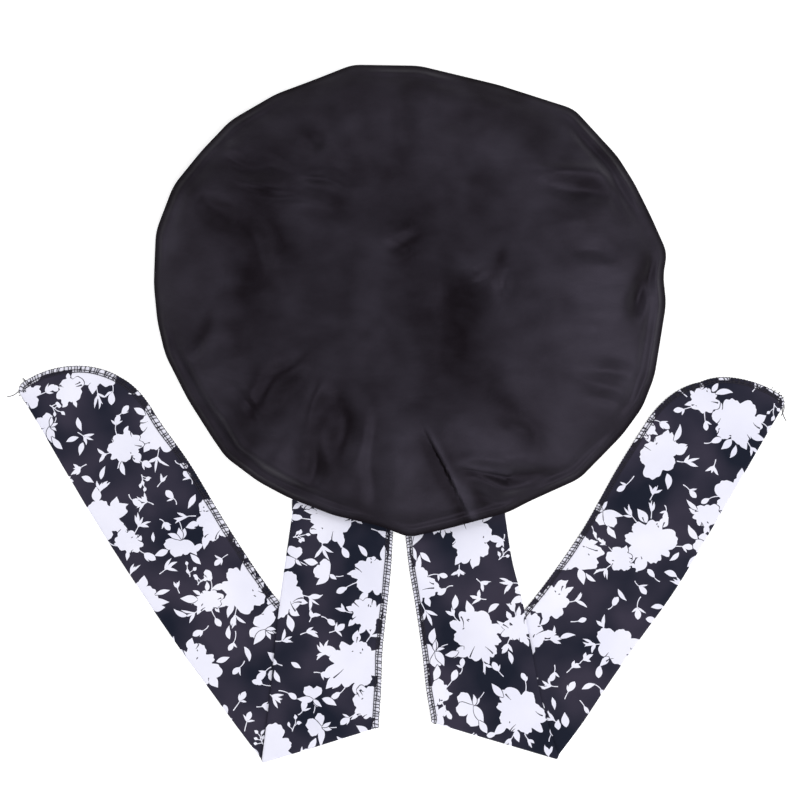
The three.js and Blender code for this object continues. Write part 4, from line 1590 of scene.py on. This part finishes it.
class SleepCapLook(bpy.types.PropertyGroup):
    # The satin's two colours: its painted shade and its painted sheen.
    satin_shaded: FloatVectorProperty(
        name="Satin, dark", description="Colour of the satin's darker places",
        default=(0.0012, 0.0002, 0.0001), subtype="COLOR", min=0.0, max=1.0)
    satin_sheen: FloatVectorProperty(
        name="Satin, light", description="Colour of the satin's lighter places",
        default=(0.0275, 0.0244, 0.0335), subtype="COLOR", min=0.0, max=1.0)
    satin_roughness: FloatProperty(
        name="Satin roughness", description="Roughness of the satin", default=0.46, min=0.0, max=1.0)
    ground_dark: FloatVectorProperty(
        name="Ground, dark", description="Colour of the print's black ground where it looks navy",
        default=(0.0034, 0.0058, 0.0170), subtype="COLOR", min=0.0, max=1.0)
    ground_light: FloatVectorProperty(
        name="Ground, light", description="Colour of the print's black ground where it looks plum",
        default=(0.0300, 0.0255, 0.0450), subtype="COLOR", min=0.0, max=1.0)
    flower: FloatVectorProperty(
        name="Flowers", description="Colour of the print's white flowers",
        default=(0.80, 0.795, 0.89), subtype="COLOR", min=0.0, max=1.0)
    flower_shade: FloatVectorProperty(
        name="Flowers, shaded", description="Colour of the white flowers' darker places",
        default=(0.70, 0.70, 0.82), subtype="COLOR", min=0.0, max=1.0)
    thread: FloatVectorProperty(
        name="Thread", description="Colour of the overlock thread",
        default=(0.0105, 0.0092, 0.0155), subtype="COLOR", min=0.0, max=1.0)
    floor: FloatVectorProperty(
        name="Floor", description="Colour of the pale floor",
        default=(0.97, 0.97, 0.97), subtype="COLOR", min=0.0, max=1.0)


class SleepCapStage(bpy.types.PropertyGroup):
    camera_height: FloatProperty(
        name="Camera height", description="Height of the camera above the floor",
        default=3.0, min=1.0, max=10.0, unit="LENGTH")
    seen_width: FloatProperty(
        name="Width seen", description="Width of the floor that the picture shows",
        default=0.5952, min=0.2, max=3.0, unit="LENGTH")
    surround: FloatProperty(
        name="Surround", description="Strength of the even light from all round",
        default=0.22, min=0.0, max=2.0)
    side_power: FloatProperty(
        name="Side lights", description="Power of the soft lights at the sides",
        default=51.0, min=0.0, max=1000.0, unit="POWER")


# Operators

def cap_sizes():
    return bpy.context.scene.sleep_cap_sizes


def cap_look():
    return bpy.context.scene.sleep_cap_look


def give(obj, material, node):
    """Gives a finished piece its material and its body, and hides the solid that it stands for."""
    obj.data.materials.clear()
    obj.data.materials.append(material)
    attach(obj, "root")
    if node:
        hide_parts(node)


class SLEEPCAP_OT_crown(bpy.types.Operator):
    """Makes the gathered satin crown"""
    bl_idname = "sleepcap.crown"
    bl_label = "Crown"

    def execute(self, context):
        obj = make_crown(cap_sizes())
        give_wall(obj, cap_sizes().satin_wall / MM)
        shade(obj, 50)
        give(obj, satin_material(cap_look()), "crown")
        return {"FINISHED"}


class SLEEPCAP_OT_headband(bpy.types.Operator):
    """Makes the doubled headband round the mouth"""
    bl_idname = "sleepcap.headband"
    bl_label = "Headband"

    def execute(self, context):
        obj = make_headband(cap_sizes())
        give(obj, knit_material(cap_look()), "headband")
        return {"FINISHED"}


class SLEEPCAP_OT_ties(bpy.types.Operator):
    """Makes the two printed ties, each folded over once, and the thread along their seams"""
    bl_idname = "sleepcap.ties"
    bl_label = "Ties"

    def execute(self, context):
        cloth = knit_material(cap_look())
        thread = thread_material(cap_look())
        for name, shape in TIE_SHAPES.items():
            plan = TiePlan(shape)
            tie = make_tie(name, plan, cap_sizes())
            give(tie, cloth, name)
            stitches = make_stitches(name, plan, cap_sizes())
            give(stitches, thread, None)
            width, length = 2 * TIE_WIDTH * MM, round(plan.length * MM, 3)
            area = min(2 * ring_area(plan.outline) * MM * MM, width * length)
        return {"FINISHED"}


class SLEEPCAP_OT_stage(bpy.types.Operator):
    """Makes the pale floor, the lights and the camera"""
    bl_idname = "sleepcap.stage"
    bl_label = "Stage"

    def execute(self, context):
        stage = context.scene.sleep_cap_stage
        deselect()
        bpy.ops.mesh.primitive_plane_add(size=FLOOR_SIZE)
        floor = context.object
        floor.name = "pale_floor"
        bpy.ops.object.mode_set(mode="EDIT")
        bpy.ops.mesh.subdivide(number_cuts=8)
        bpy.ops.object.mode_set(mode="OBJECT")
        floor.data.materials.append(floor_material(cap_look()))

        world = bpy.data.worlds.new("Studio")
        world.use_nodes = True
        background = world.node_tree.nodes["Background"]
        background.inputs["Color"].default_value = (1.0, 1.0, 1.0, 1.0)
        background.inputs["Strength"].default_value = stage.surround
        context.scene.world = world

        for name, place, size, share in LIGHTS:
            add_light(name, Vector(place), size, stage.side_power * share)

        bpy.ops.object.camera_add(location=(*CAMERA_PLACE, stage.camera_height), rotation=(0, 0, 0))
        camera = context.object
        camera.name = "camera"
        camera.data.sensor_width = 36.0
        camera.data.lens = camera.data.sensor_width * stage.camera_height / stage.seen_width
        camera.data.clip_end = 100.0
        context.scene.camera = camera
        context.scene.view_settings.view_transform = "Standard"
        return {"FINISHED"}


def add_light(name, place, size, power):
    """A square soft light that faces the middle of the floor."""
    bpy.ops.object.light_add(type="AREA", location=place)
    light = bpy.context.object
    light.name = name
    light.data.shape = "SQUARE"
    light.data.size = size
    light.data.energy = power
    light.rotation_mode = "QUATERNION"
    light.rotation_quaternion = (-place).to_track_quat("-Z", "Y")


class SLEEPCAP_PT_panel(bpy.types.Panel):
    """Lists the cap's settings and its pieces"""
    bl_idname = "SLEEPCAP_PT_panel"
    bl_label = "Sleep Cap"
    bl_space_type = "VIEW_3D"
    bl_region_type = "UI"
    bl_category = "Sleep Cap"

    def draw(self, context):
        for group in (cap_sizes(), cap_look(), context.scene.sleep_cap_stage):
            box = self.layout.box()
            for name in group.bl_rna.properties.keys():
                if name not in ("rna_type", "name"):
                    box.prop(group, name)
        for operator in OPERATORS:
            self.layout.operator(operator.bl_idname)


OPERATORS = (SLEEPCAP_OT_stage, SLEEPCAP_OT_crown, SLEEPCAP_OT_headband, SLEEPCAP_OT_ties)
CLASSES = (SleepCapSizes, SleepCapLook, SleepCapStage) + OPERATORS + (SLEEPCAP_PT_panel,)


def register():
    for each in CLASSES:
        bpy.utils.register_class(each)
    bpy.types.Scene.sleep_cap_sizes = PointerProperty(type=SleepCapSizes)
    bpy.types.Scene.sleep_cap_look = PointerProperty(type=SleepCapLook)
    bpy.types.Scene.sleep_cap_stage = PointerProperty(type=SleepCapStage)


def unregister():
    del bpy.types.Scene.sleep_cap_stage
    del bpy.types.Scene.sleep_cap_look
    del bpy.types.Scene.sleep_cap_sizes
    for each in reversed(CLASSES):
        bpy.utils.unregister_class(each)


def main():
    register()
    bpy.ops.sleepcap.stage()
    bpy.ops.sleepcap.crown()
    bpy.ops.sleepcap.headband()
    bpy.ops.sleepcap.ties()


if __name__ == "__main__":
    main()
